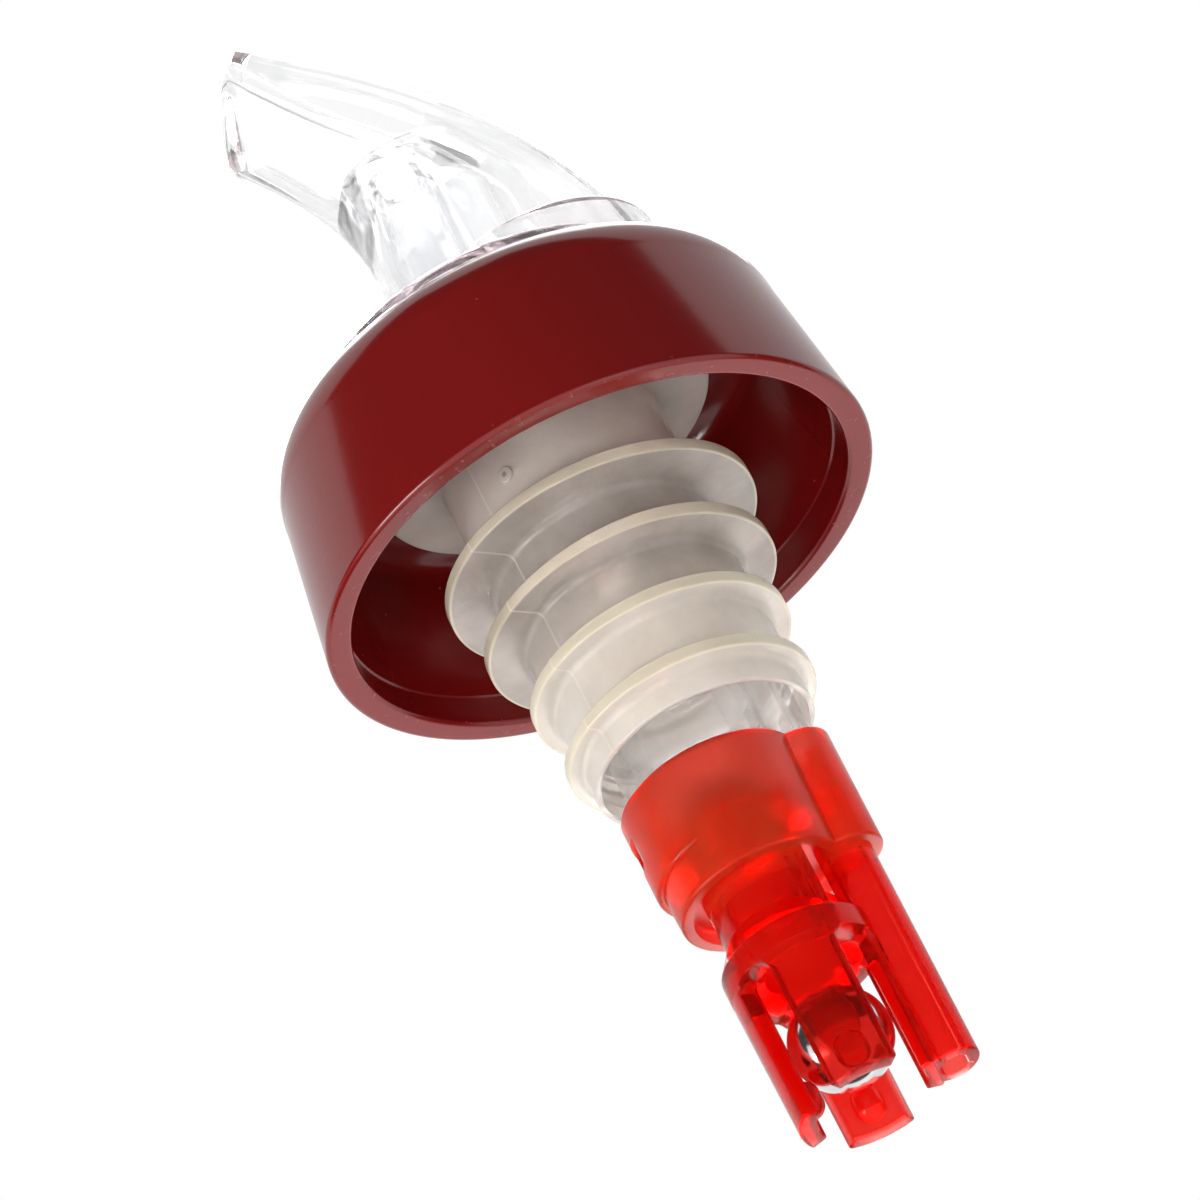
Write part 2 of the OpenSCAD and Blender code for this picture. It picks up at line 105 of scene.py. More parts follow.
def length(name, description, mm):
    """A length that a user can change, given in millimetres."""
    return FloatProperty(name=name, description=description, default=mm * MM, unit="LENGTH", precision=5)


def angle(name, description, degrees):
    """An angle that a user can change, given in degrees."""
    return FloatProperty(name=name, description=description, default=math.radians(degrees), subtype="ANGLE")


def colour(name, description, rgb):
    """A colour that a user can change."""
    return FloatVectorProperty(name=name, description=description, default=rgb, size=3, subtype="COLOR",
                               min=0, max=1)


class SpoutSizes(bpy.types.PropertyGroup):
    base_z: length("Base height", "Underside of the spout's flange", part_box("spout")[0].z / MM)
    flange_d: length("Flange diameter", "Diameter of the base flange", 30)
    flange_t: length("Flange thickness", "Thickness of the base flange", 2.4)
    flange_edge: length("Flange edge", "Radius of the flange's top edge", 0.6)
    plinth_d: length("Plinth diameter", "Diameter of the plinth under the nozzle", 18.8)
    plinth_x: length("Plinth offset", "How far the plinth's middle lies behind the axis", 5.5)
    plinth_h: length("Plinth height", "Height of the plinth above the collar", 7)
    foot_l: length("Foot length", "Length of the nozzle's foot, front to back", 25.2)
    foot_w: length("Foot width", "Width of the nozzle's foot", 19)
    foot_x: length("Foot offset", "How far the foot's middle lies behind the axis", 2.5)
    knee_x: length("Bend offset", "How far the nozzle's bend lies behind the axis", 5.3)
    knee_h: length("Bend height", "Height of the nozzle's bend above the collar", 16.1)
    tip_d: length("Tip diameter", "Diameter of the nozzle's tip", 9.6)
    tip_x: length("Tip reach", "Reach of the tip in front of the axis", 9.2)
    tip_h: length("Tip height", "Height of the tip above the collar", 32)
    tip_edge: length("Tip edge", "Radius of the tip's edge", 0.9)
    tip_angle: angle("Tip angle", "Angle of the tip's face above level", 26)
    swell: number("Swell", "How fast the nozzle narrows upwards", 1.3)
    bore_d: length("Bore", "Bore of the nozzle", 5.2)
    bore_l: length("Bore length", "Length of the nozzle's straight bore", 9)
    bore_angle: angle("Bore angle", "Angle of the bore below level", 55)
    throat_d: length("Throat", "Width where the bore opens into the plenum", 5.6)
    throat_l: length("Throat length", "Length of the widening passage", 7)
    plenum_d: length("Plenum diameter", "Diameter of the room round the riser", 11.2)
    plenum_x: length("Plenum offset", "How far the plenum lies behind the axis", 0.9)
    plenum_wall: length("Plenum wall", "Height of the plenum's upright wall above the collar", 14.8)
    plenum_top: length("Plenum top", "Diameter of the plenum's top over the riser", 7.8)
    plenum_head: length("Plenum head", "Gap between the riser and the plenum's top", 1)
    vent_d: length("Vent", "Diameter of the air way", 2.2)


class CollarSizes(bpy.types.PropertyGroup):
    rim_z: length("Rim height", "Height of the collar's rim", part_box("collar")[0].z / MM)
    top_z: length("Top height", "Height of the collar's top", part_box("collar")[1].z / MM)
    rim_d: length("Rim diameter", "Diameter at the rim", 44.5)
    shoulder_d: length("Shoulder diameter", "Diameter where the shoulder starts", 41.1)
    shoulder_r: length("Shoulder radius", "Radius of the shoulder", 5)
    wall: length("Wall", "Wall of the skirt", 2.1)
    top_t: length("Top thickness", "Thickness of the top", 2.4)
    inner_r: length("Inner radius", "Radius of the corner inside the shoulder", 2.9)
    boss_d: length("Boss diameter", "Diameter of the boss on the stopper's flange", 24)
    edge: length("Edge", "Radius of the rim's edges", 0.4)
    rebate_h: length("Rebate height", "Height of the rebate inside the rim", 2.6)
    rebate: length("Rebate", "Step of the rebate", 0.15)


class StopperSizes(bpy.types.PropertyGroup):
    flange_d: length("Flange diameter", "Diameter of the flange on the bottle's lip", 27.3)
    flange_t: length("Flange thickness", "Thickness of the flange", 1.6)
    root_r: length("Flange root", "Radius under the flange", 1.6)
    wall: length("Wall", "Wall of the sleeve", 0.8)
    end_z: length("End height", "Height of the stopper's lower end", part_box("stopper")[0].z / MM)
    end_wall: length("End wall", "Wall of the thin end ring", 0.45)
    fin_1: length("First fin", "Diameter of the top fin", 25.1)
    fin_2: length("Second fin", "Diameter of the second fin", 23.4)
    fin_3: length("Third fin", "Diameter of the third fin", 20.8)
    fin_4: length("Fourth fin", "Diameter of the lowest fin", 20)
    fin_first: length("First fin depth", "Depth of the first fin below the lip", 11.3)
    fin_pitch: length("Fin pitch", "Pitch of the fins", 5.6)
    fin_t: length("Fin thickness", "Thickness of a fin at its rim", 1)
    fin_root: length("Fin root", "Radius where a fin leaves the sleeve", 0.6)
    seam: length("Seam", "How far the mould's parting line stands out", 0.06)
    seam_turn: angle("Seam turn", "Where the parting line runs round the stopper", -138)
    nub_d: length("Nub diameter", "Diameter of the gate's nub on the neck", 1.3)
    nub_out: length("Nub height", "How far the nub stands out of the neck", 0.25)
    nub_z: length("Nub place", "Height of the nub's middle", -6.4)
    nub_turn: angle("Nub turn", "Where the nub lies round the neck", -120)
    warp: length("Warp", "How far the soft fins' rims wave", 0.08)


class ChamberSizes(bpy.types.PropertyGroup):
    tube_x: length("Chamber offset", "Place of the chamber's axis", -0.8)
    bore_d: length("Chamber bore", "Bore of the ball chamber", 9.4)
    tube_d: length("Tube diameter", "Outside of the chamber tube", 12.2)
    air_x: length("Air offset", "Place of the air channel's axis", 5.7)
    air_bore: length("Air bore", "Bore of the air channel", 2.4)
    air_d: length("Air tube diameter", "Outside of the air tube", 4.1)
    stem_d: length("Stem diameter", "Diameter of the stem in the stopper", 16)
    stem_z: length("Stem end", "Height of the stem's lower end", -27)
    stem_top: length("Stem top", "Height of the stem's top", 7.8)
    end_z: length("Chamber end", "Height of the chamber's lower end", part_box("chamber_body")[0].z / MM)
    seat_low: length("Seat foot", "Height where the ball seat starts", 4)
    seat_top: length("Seat top", "Height where the ball seat ends", 6.7)
    riser_d: length("Riser diameter", "Outside of the outlet riser", 6.6)
    riser_bore: length("Riser bore", "Bore of the outlet riser", 4)
    riser_top: length("Riser top", "Height of the riser's top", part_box("chamber_body")[1].z / MM)
    catch_w: length("Catch width", "Width of the catch", 3.4)
    catch_h: length("Catch height", "Height of the catch", 2.4)
    catch_out: length("Catch depth", "How far the catch stands out", 0.6)
    catch_z: length("Catch place", "Height of the catch's middle", -36.9)
    play: length("Play", "Play between pieces that fit in one another", 0.04)


class CapSizes(bpy.types.PropertyGroup):
    top_z: length("Sleeve top", "Height of the sleeve's top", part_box("tail_cap")[1].z / MM)
    end_z: length("Leg ends", "Height of the legs' ends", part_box("tail_cap")[0].z / MM)
    wall: length("Wall", "Wall of the sleeve", 0.9)
    taper: length("Skirt taper", "How much smaller the skirt's radius is", 0.3)
    skirt_z: length("Skirt edge", "Height of the skirt's edge", -43.9)
    floor_z: length("Floor", "Height of the floor's underside", -42.6)
    neck_bore: length("Neck bore", "Bore of the inlet neck", 6.2)
    neck_d: length("Neck diameter", "Outside of the inlet neck", 9.1)
    neck_flat: length("Neck flat", "How far the neck's flat-sided half runs", 3.5)
    shoulder_z: length("Shoulder", "Height where the cage's shoulder starts", -47.1)
    head_z: length("Head", "Height of the shoulder's foot", -49.3)
    window_z: length("Window tops", "Height where the cage's windows start", -51.3)
    cage_bore: length("Cage bore", "Bore of the cage", 8.74)
    head_d: length("Head diameter", "Outside of the cage's head", 11.94)
    leg_taper: length("Leg taper", "How much thinner a leg is at its end", 0.15)
    leg_angle: angle("Leg angle", "Angle that a leg takes up", 55)
    air_leg_angle: angle("Air leg angle", "Angle that the air tube's leg takes up", 46)
    leg_root: length("Leg root", "Radius where a leg leaves the head", 0.9)
    corner: length("Corner", "Radius of the legs' corners", 0.22)
    nub_r: length("Nub radius", "Radius of the nub in a leg's end", 1.2)
    nub_low: length("Nub foot", "Height of the nub's lower centre", -61.1)
    nub_top: length("Nub top", "Height of the nub's upper centre", -60.4)
    nub_out: length("Nub depth", "How far the nub's middle stands inside the bore", 0.1)
    pad_out: length("Pad", "How far the pad under the catch stands out", 0.3)
    pad_shift: length("Pad offset", "How far the pad's axis lies from the sleeve's", 0.8)
    pad_l: length("Pad length", "Depth of the pad below the sleeve's top", 7)


class Finishes(bpy.types.PropertyGroup):
    clear: colour("Clear plastic", "Tint of the spout and the chamber", (0.985, 0.988, 0.995))
    # Painted reflection: the red collar seen through the spout's foot, painted into the spout's colour
    foot: colour("Spout's foot", "Tint of the spout where it stands on the collar", (0.74, 0.64, 0.67))
    collar: colour("Collar", "Colour of the glossy collar", (0.155, 0.0045, 0.004))
    collar_deep: colour("Collar, deep", "Darker shade in the collar's flow marks", (0.13, 0.003, 0.003))
    milk: colour("Stopper", "Colour of the milky stopper", (0.90, 0.82, 0.73))
    frost: colour("Stopper, thin", "Colour that the stopper's walls let through", (0.97, 0.90, 0.83))
    # Partly real, partly painted shade: the walls let more through where they cling to the stem, and this darker
    # colour paints in the shade of the dark insides seen through them
    wet: colour("Stopper, on the stem", "The same where the walls cling to the stem", (0.54, 0.48, 0.45))
    # Painted light: the inside of the stopper's lower end is painted paler, for the light behind it shining
    # through the wall
    end: colour("Stopper's end", "Paler colour inside the stopper's lower end", (0.98, 0.96, 0.94))
    rim: colour("Fin rim", "Yellower colour of the fins' rims", (0.70, 0.62, 0.46))
    red: colour("Tail cap", "Colour that the tail cap lets through", (0.975, 0.06, 0.0))
    red_thin: colour("Tail cap, thin", "Colour that the cap's thin walls scatter", (1.0, 0.10, 0.03))
    red_deep: colour("Tail cap, thick", "Colour that the cap's legs scatter", (0.50, 0.012, 0.008))
    steel: colour("Balls", "Colour of the steel balls", (0.78, 0.78, 0.79))
    depth: number("Tail cap depth", "How fast the tail cap's colour deepens, per metre", 2400)


class StudioSettings(bpy.types.PropertyGroup):
    ambient: number("Ambient", "Strength of the world's light on the object", 0.5)
    key: number("Key", "Power of the key light", 8, "POWER")
    fill: number("Fill", "Power of the fill lights", 3.5, "POWER")
    back: number("Back", "Power of the light behind the object", 16, "POWER")
    front: number("Front", "Power of the light beside the camera", 5, "POWER")
    card: number("Cards", "Brightness of the dark cards round the object", 0.06)
    haze: number("Front card through plastic", "Brightness of the front card seen through clear plastic", 0.4)
    line: number("Side cards through plastic", "Brightness of the side cards seen through clear plastic", 0.02)
    floor_z: number("Floor", "Height of the floor", -0.62, "LENGTH")
    lens: number("Lens", "Focal length of the camera", 300, "CAMERA")


GROUPS = {"pourer_spout": SpoutSizes, "pourer_collar": CollarSizes, "pourer_stopper": StopperSizes,
          "pourer_chamber": ChamberSizes, "pourer_cap": CapSizes, "pourer_finish": Finishes,
          "pourer_studio": StudioSettings}


def sizes(scene, group):
    """A group's lengths in millimetres, and its other values as they are."""
    holder = getattr(scene, group)
    values = {}
    for key in holder.__annotations__:
        value = getattr(holder, key)
        is_length = holder.bl_rna.properties[key].unit == "LENGTH"
        values[key] = value / MM if is_length else value
    return SimpleNamespace(**values)


# Node trees


class Wire:
    """A node's output socket. The operators add Math nodes to its tree."""

    def __init__(self, socket):
        self.socket = socket
        self.tree = socket.id_data

    @staticmethod
    def node(tree, kind, settings=None, inputs=None, output=0):
        """Adds a node, sets it up and feeds its sockets with values or wires.

        Returns one of the node's outputs, if it has any."""
        made = tree.nodes.new(kind)
        for name, value in (settings or {}).items():
            if name == "stops":
                ramp = made.color_ramp.elements
                while len(ramp) < len(value):
                    ramp.new(1)
                for stop, (place, tone) in zip(ramp, value):
                    stop.position, stop.color = place, tone
            else:
                setattr(made, name, value)
        for key, value in (inputs or {}).items():
            if isinstance(value, Wire):
                tree.links.new(value.socket, made.inputs[key])
            else:
                made.inputs[key].default_value = value
        return Wire(made.outputs[output]) if made.outputs else None

    def other(self, output):
        """Another output of the same node."""
        return Wire(self.socket.node.outputs[output])

    def math(self, operation, *others):
        return Wire.node(self.tree, "ShaderNodeMath", {"operation": operation},
                         dict(enumerate((self, *others))))

    def flipped(self, operation, first):
        return Wire.node(self.tree, "ShaderNodeMath", {"operation": operation}, {0: first, 1: self})

    def __add__(self, other):
        return self.math("ADD", other)

    def __sub__(self, other):
        return self.math("SUBTRACT", other)

    def __mul__(self, other):
        return self.math("MULTIPLY", other)

    def __truediv__(self, other):
        return self.math("DIVIDE", other)

    def __pow__(self, other):
        return self.math("POWER", other)

    def __rsub__(self, other):
        return self.flipped("SUBTRACT", other)

    __radd__, __rmul__ = __add__, __mul__

    def between(self, low, high):
        """0 below low, 1 above high, smooth in between."""
        return Wire.node(self.tree, "ShaderNodeMapRange", {"interpolation_type": "SMOOTHSTEP"},
                         {0: self, 1: low, 2: high, 3: 0.0, 4: 1.0})

    def between_mm(self, low, high):
        """The same for a distance in metres, with its limits in millimetres."""
        return self.between(low * MM, high * MM)


def geometry_tree(name, inputs):
    """A geometry tree with named inputs, and its input sockets as wires."""
    tree = bpy.data.node_groups.new(name, "GeometryNodeTree")
    tree.interface.new_socket("Geometry", in_out="INPUT", socket_type="NodeSocketGeometry")
    for label, kind in (*inputs, ("Material", "NodeSocketMaterial")):
        tree.interface.new_socket(label, in_out="INPUT", socket_type=kind)
    tree.interface.new_socket("Geometry", in_out="OUTPUT", socket_type="NodeSocketGeometry")
    given = Wire.node(tree, "NodeGroupInput").socket.node
    return tree, {s.name: Wire(s) for s in given.outputs if s.name}


def close_tree(tree, shape, given):
    """Ends a tree in Realize Instances and Set Material."""
    real = Wire.node(tree, "GeometryNodeRealizeInstances", None, {0: shape})
    dressed = Wire.node(tree, "GeometryNodeSetMaterial", None, {"Geometry": real, "Material": given["Material"]})
    Wire.node(tree, "NodeGroupOutput", None, {0: dressed})


def ring_grid(tree, rings, sides):
    """A grid of points for rings, with the number of each point's ring and its turn round that ring."""
    rows = sides + 1
    grid = Wire.node(tree, "GeometryNodeMeshGrid", None, {"Vertices X": rings, "Vertices Y": rows})
    index = Wire.node(tree, "GeometryNodeInputIndex")
    # The small step keeps rounding from lowering a whole number
    ring = (index / rows + 1e-5).math("FLOOR")
    return grid, ring, (index - ring * rows) * math.tau / sides


def close_rings(tree, grid, place, given):
    """Moves a grid's points to their places, merges its seam and poles and ends the tree."""
    shape = Wire.node(tree, "GeometryNodeSetPosition", None, {"Geometry": grid, "Position": place})
    shape = Wire.node(tree, "GeometryNodeMergeByDistance", None, {"Geometry": shape, "Distance": MERGE_MM})
    close_tree(tree, shape, given)


def turning_tree():
    """Turns a profile, given as a line of points in the XZ plane, about the Z axis."""
    tree, given = geometry_tree("turned_piece", [("Steps", "NodeSocketInt")])
    count = Wire.node(tree, "GeometryNodeAttributeDomainSize", None, {0: given["Geometry"]})
    grid, point, turn = ring_grid(tree, count, given["Steps"])
    place = Wire.node(tree, "GeometryNodeInputPosition")
    profile = Wire.node(tree, "GeometryNodeSampleIndex", {"data_type": "FLOAT_VECTOR"},
                        {"Geometry": given["Geometry"], "Value": place, "Index": point})
    turned = Wire.node(tree, "ShaderNodeVectorRotate", {"rotation_type": "Z_AXIS"},
                       {"Vector": profile, "Angle": turn})
    close_rings(tree, grid, turned, given)
    return tree


def nozzle_tree():
    """Sweeps oval rings along the nozzle's bent line, from the wide foot to the round tip."""
    numbers = ["Foot X", "Foot Z", "Bend X", "Bend Z", "Tip X", "Tip Z", "Foot Length", "Foot Width",
               "Tip Diameter", "Tip Edge", "Tip Angle", "Swell"]
    tree, given = geometry_tree("nozzle_sweep", [(n, "NodeSocketFloat") for n in numbers]
                                + [(n, "NodeSocketInt") for n in ("Rings", "Sides", "Edge Rings")])
    rings, edges = given["Rings"], given["Edge Rings"]
    grid, ring, around = ring_grid(tree, rings + edges + 3, given["Sides"])
    along = ((ring - 1) / rings).math("MAXIMUM", 0).math("MINIMUM", 1)
    bend = ((ring - 1 - rings) / edges).math("MAXIMUM", 0).math("MINIMUM", 1) * (math.pi / 2)
    is_ring = ring.math("GREATER_THAN", 0.5) * ring.math("LESS_THAN", rings + edges + 1.5)
    rest = 1 - along
    centre, step = {}, {}
    for axis in "XZ":
        foot, knee, tip = given["Foot " + axis], given["Bend " + axis], given["Tip " + axis]
        centre[axis] = rest * rest * foot + along * rest * 2 * knee + along * along * tip
        step[axis] = rest * (knee - foot) + along * (tip - knee)
    heading = step["Z"].math("ARCTAN2", step["X"] * -1)
    lean = (1 - (along * math.pi).math("COSINE")) * 0.5
    face = (given["Tip Angle"] - math.pi / 2) * lean + math.pi / 2
    narrowing = rest ** given["Swell"]
    inset = given["Tip Edge"] * (1 - bend.math("COSINE"))
    ahead = given["Tip Edge"] * bend.math("SINE")

    def half(foot):
        return (given["Tip Diameter"] + (given[foot] - given["Tip Diameter"]) * narrowing) * 0.5

    wide = (half("Foot Width") - inset) * is_ring
    tall = (half("Foot Length") / (heading - face).math("COSINE") - inset) * is_ring
    reach = tall * around.math("COSINE")
    tip_angle = given["Tip Angle"]
    point = Wire.node(tree, "ShaderNodeCombineXYZ", None, {
        "X": centre["X"] - ahead * tip_angle.math("COSINE") + reach * face.math("SINE"),
        "Y": wide * around.math("SINE"),
        "Z": centre["Z"] + ahead * tip_angle.math("SINE") + reach * face.math("COSINE")})
    close_rings(tree, grid, point, given)
    return tree


def leg_ring_tree():
    """Sets copies of one leg round the cage's axis."""
    tree, given = geometry_tree("leg_ring", [("Count", "NodeSocketInt"), ("First Turn", "NodeSocketFloat"),
                                             ("Turn", "NodeSocketFloat")])
    points = Wire.node(tree, "GeometryNodeMeshLine", None,
                       {"Count": given["Count"], "Start Location": (0, 0, 0), "Offset": (0, 0, 0)})
    index = Wire.node(tree, "GeometryNodeInputIndex")
    turn = Wire.node(tree, "ShaderNodeCombineXYZ", None, {"Z": given["First Turn"] + index * given["Turn"]})
    shape = Wire.node(tree, "GeometryNodeInstanceOnPoints", None,
                      {"Points": points, "Instance": given["Geometry"], "Rotation": turn})
    close_tree(tree, shape, given)
    return tree


# Solids, in millimetres


def arc(x, z, r, start, end, steps=10):
    """Points on a round corner, from one angle to another in degrees."""
    turns = [math.radians(start + (end - start) * i / steps) for i in range(steps + 1)]
    return [(x + r * math.cos(a), z + r * math.sin(a)) for a in turns]


def evaluated(holder):
    """A plain mesh of an object with its modifiers, which is then removed."""
    bpy.context.view_layer.update()
    depsgraph = bpy.context.evaluated_depsgraph_get()
    mesh = bpy.data.meshes.new_from_object(holder.evaluated_get(depsgraph))
    bpy.data.objects.remove(holder)
    return mesh


def placed(mesh, name="holder"):
    """A mesh as an object of the scene."""
    holder = bpy.data.objects.new(name, mesh)
    bpy.context.scene.collection.objects.link(holder)
    return holder


def grown(tree, mesh, **values):
    """The mesh that a geometry tree makes of a mesh, with the tree's inputs set."""
    holder = placed(mesh)
    modifier = holder.modifiers.new(tree.name, "NODES")
    modifier.node_group = tree
    for item in tree.interface.items_tree:
        if item.in_out == "INPUT" and item.name in values:
            modifier[item.identifier] = values[item.name]
    return faced(evaluated(holder))


def faced(mesh):
    """Merges doubles and turns all faces outwards."""
    bm = bmesh.new()
    bm.from_mesh(mesh)
    bmesh.ops.remove_doubles(bm, verts=bm.verts, dist=MERGE_MM)
    bmesh.ops.dissolve_degenerate(bm, edges=bm.edges, dist=MERGE_MM)
    bmesh.ops.recalc_face_normals(bm, faces=bm.faces)
    bm.to_mesh(mesh)
    bm.free()
    return mesh


def turned(profile, x=0, steps=TURN_STEPS):
    """A solid of revolution from its profile of (radius, height) points, on an axis at x."""
    line = bpy.data.meshes.new("profile")
    line.from_pydata([(r, 0, z) for r, z in profile], [(i, i + 1) for i in range(len(profile) - 1)], [])
    mesh = grown(TREES["turned_piece"], line, Steps=steps)
    mesh.transform(Matrix.Translation((x, 0, 0)))
    return mesh


def rod(r, low, high, x=0, edge_low=0, edge_high=0, steps=TURN_STEPS):
    """A round rod, with its edges rounded where a radius is given."""
    foot = arc(r - edge_low, low + edge_low, edge_low, -90, 0, 6) if edge_low else [(r, low)]
    head = arc(r - edge_high, high - edge_high, edge_high, 0, 90, 6) if edge_high else [(r, high)]
    return turned([(0, low), *foot, *head, (0, high)], x, steps)


def inset(outline, distance):
    """An outline, run counter-clockwise, drawn in by a distance."""
    moved, n = [], len(outline)
    for i, here in enumerate(outline):
        before, after = Vector(outline[i - 1]), Vector(outline[(i + 1) % n])
        here = Vector(here)
        a, b = (here - before).normalized(), (after - here).normalized()
        inward = Vector((-a.y - b.y, a.x + b.x))
        inward = inward / max(inward.length_squared / 2, 0.3)
        moved.append(tuple(here + inward * distance))
    return moved


def loft(rings):
    """A closed solid through rings of (outline, height) with the same number of points."""
    bm = bmesh.new()
    rows = [[bm.verts.new((x, y, z)) for x, y in outline] for outline, z in rings]
    count = len(rows[0])
    for low, high in zip(rows, rows[1:]):
        for j in range(count):
            k = (j + 1) % count
            bm.faces.new((low[j], low[k], high[k], high[j]))
    bm.faces.new(rows[0][::-1])
    bm.faces.new(rows[-1])
    bmesh.ops.recalc_face_normals(bm, faces=bm.faces)
    mesh = bpy.data.meshes.new("loft")
    bm.to_mesh(mesh)
    bm.free()
    return mesh


def rounded(outline, z, edge, up=1):
    """Rings of an outline's rounded end, from the end to the outline's full width."""
    turns = [math.pi / 8 * i for i in range(5)]
    return [(inset(outline, edge * (1 - math.sin(a))), z + up * edge * (1 - math.cos(a))) for a in turns]


def prism(outline, low, high, edge_low=0, edge_high=0, foot=None):
    """An outline run up from low to high, with rounded ends and, if given, another outline at the foot."""
    foot = foot or outline
    first = rounded(foot, low, edge_low) if edge_low else [(foot, low)]
    last = rounded(outline, high, edge_high, -1)[::-1] if edge_high else [(outline, high)]
    return loft(first + last)


def box(low, high):
    """A block between two corners."""
    (x0, y0, z0), (x1, y1, z1) = low, high
    return prism([(x0, y0), (x1, y0), (x1, y1), (x0, y1)], z0, z1)


def combined(base, others, operation):
    """A solid with others joined to it, cut out of it or kept in common with it."""
    holder = placed(base)
    tools = []
    for other in others:
        tool = placed(other)
        tools.append(tool)
        modifier = holder.modifiers.new(operation.lower(), "BOOLEAN")
        modifier.operation, modifier.solver, modifier.object = operation, "EXACT", tool
    made = evaluated(holder)
    for tool in tools:
        bpy.data.objects.remove(tool)
    return made


def union(base, *others):
    return combined(base, others, "UNION")


def cut(base, *others):
    return combined(base, others, "DIFFERENCE")


def common(base, *others):
    return combined(base, others, "INTERSECT")


def piece(mesh, name, material, node, clear=False):
    """Finishes a solid as a piece that stands in for a CAD node, which it hides, and rides on the pourer's body.

    A clear piece lets the lamps' light pass to what is behind it."""
    faced(mesh)
    mesh.transform(Matrix.Scale(MM, 4))
    mesh.materials.clear()
    mesh.materials.append(material)
    mesh.polygons.foreach_set("material_index", [0] * len(mesh.polygons))
    mesh.shade_smooth()
    mesh.set_sharp_from_angle(angle=SHARP_ANGLE)
    mesh.name = name
    made = placed(mesh, name)
    made.visible_shadow = not clear
    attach(made, "pourer")
    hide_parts(node)
    return made


def twin_outline(c, tube_r, air_r, steps=72):
    """Outline of the chamber tube with the air tube beside it, counter-clockwise."""
    start = math.degrees(math.asin(air_r / tube_r))
    return arc(c.tube_x, 0, tube_r, start, 360 - start, steps) + arc(c.air_x, 0, air_r, -90, 90, steps // 3)


# Finishes


def new_material(name):
    """A material with one Principled shader, its tree and the Object coordinates."""
    material = bpy.data.materials.new(name)
    material.use_nodes = True
    tree = material.node_tree
    shader = tree.nodes["Principled BSDF"]
    place = Wire.node(tree, "ShaderNodeTexCoord", None, None, "Object")
    return material, tree, shader, place


def set_shader(tree, shader, **values):
    """Sets the shader's own sockets, or links them where a wire is given."""
    for name, value in values.items():
        socket = shader.inputs[name.replace("_", " ")]
        if isinstance(value, Wire):
            tree.links.new(value.socket, socket)
        else:
            socket.default_value = value


def noise(tree, place, size_mm, detail=3, rough=0.5, stretch=(1, 1, 1)):
    """Soft random values with features of about a size."""
    if stretch != (1, 1, 1):
        place = Wire.node(tree, "ShaderNodeMapping", None, {"Vector": place, "Scale": stretch})
    return Wire.node(tree, "ShaderNodeTexNoise", None,
                     {"Vector": place, "Scale": 1 / (size_mm * MM), "Detail": detail, "Roughness": rough})


def specks(tree, place, size_mm, radius, keep):
    """1 on sparse round specks: radius is a share of the cell, keep the share of cells with one."""
    cells = Wire.node(tree, "ShaderNodeTexVoronoi", None, {"Vector": place, "Scale": 1 / (size_mm * MM)})
    tone = Wire.node(tree, "ShaderNodeSeparateColor", None, {0: cells.other("Color")})
    return (1 - cells.between(radius * 0.6, radius)) * tone.math("LESS_THAN", keep)


def bump(tree, height, distance_mm):
    """Fine relief of a depth, for a shader's Normal."""
    return Wire.node(tree, "ShaderNodeBump", None,
                     {"Height": height, "Distance": distance_mm * MM, "Strength": 1.0})


def blend(tree, factor, first, second):
    """A mix of two colours."""
    first, second = ((*c, 1) if not isinstance(c, Wire) else c for c in (first, second))
    return Wire.node(tree, "ShaderNodeMix", {"data_type": "RGBA"}, {0: factor, 6: first, 7: second}, 2)


def radius_and_height(tree, place):
    """Distance from the Z axis and height, in metres."""
    parts = Wire.node(tree, "ShaderNodeSeparateXYZ", None, {0: place})
    x, y, z = parts, parts.other(1), parts.other(2)
    return (x * x + y * y).math("SQRT"), z


def spot(tree, place, point_mm, inside_mm, outside_mm):
    """1 near a point, 0 away from it, smooth in between."""
    away = Wire.node(tree, "ShaderNodeVectorMath", {"operation": "DISTANCE"},
                     {0: place, 1: Vector(point_mm) * MM}, "Value")
    return 1 - away.between_mm(inside_mm, outside_mm)


def scratches(tree, place, size_mm, length, low, high):
    """1 on sparse upright scratches."""
    return noise(tree, place, size_mm, 2, stretch=(1, 1, length)).between(low, high)


def mixed(tree, factor, first, second):
    """Makes a mix of two shaders the material's surface."""
    both = Wire.node(tree, "ShaderNodeMixShader", None,
                     {0: factor, 1: Wire(first.outputs[0]), 2: Wire(second.outputs[0])})
    tree.links.new(both.socket, tree.nodes["Material Output"].inputs["Surface"])


def shown(tree):
    """1 for the rays that see the white background: from the camera, gloss and clear plastic."""
    rays = Wire.node(tree, "ShaderNodeLightPath")
    return rays.math("MAXIMUM", rays.other("Is Glossy Ray")).math("MAXIMUM", rays.other("Is Transmission Ray"))


def clear_moulding(finish):
    """The spout's plastic, with the red collar below it painted into its colour at its foot as a painted
    reflection.
    """
    material, tree, shader, place = new_material("clear_moulding")
    z = radius_and_height(tree, place)[1]
    flow = noise(tree, place, 5, 2)
    scratch = scratches(tree, place, 0.25, 0.04, 0.70, 0.78)
    # Painted reflection of the red collar: the foot's colour is pulled towards its red, unevenly with the flow
    # marks
    foot = (1 - z.between_mm(*SPOUT_PAINTED_RED_MM)) * (flow * 0.5 + 0.7)
    set_shader(tree, shader, Base_Color=blend(tree, foot, finish.clear, finish.foot), Transmission_Weight=1.0,
               IOR=1.5, Alpha=0.9, Roughness=scratch * 0.04, Normal=bump(tree, flow, 0.002))
    return material


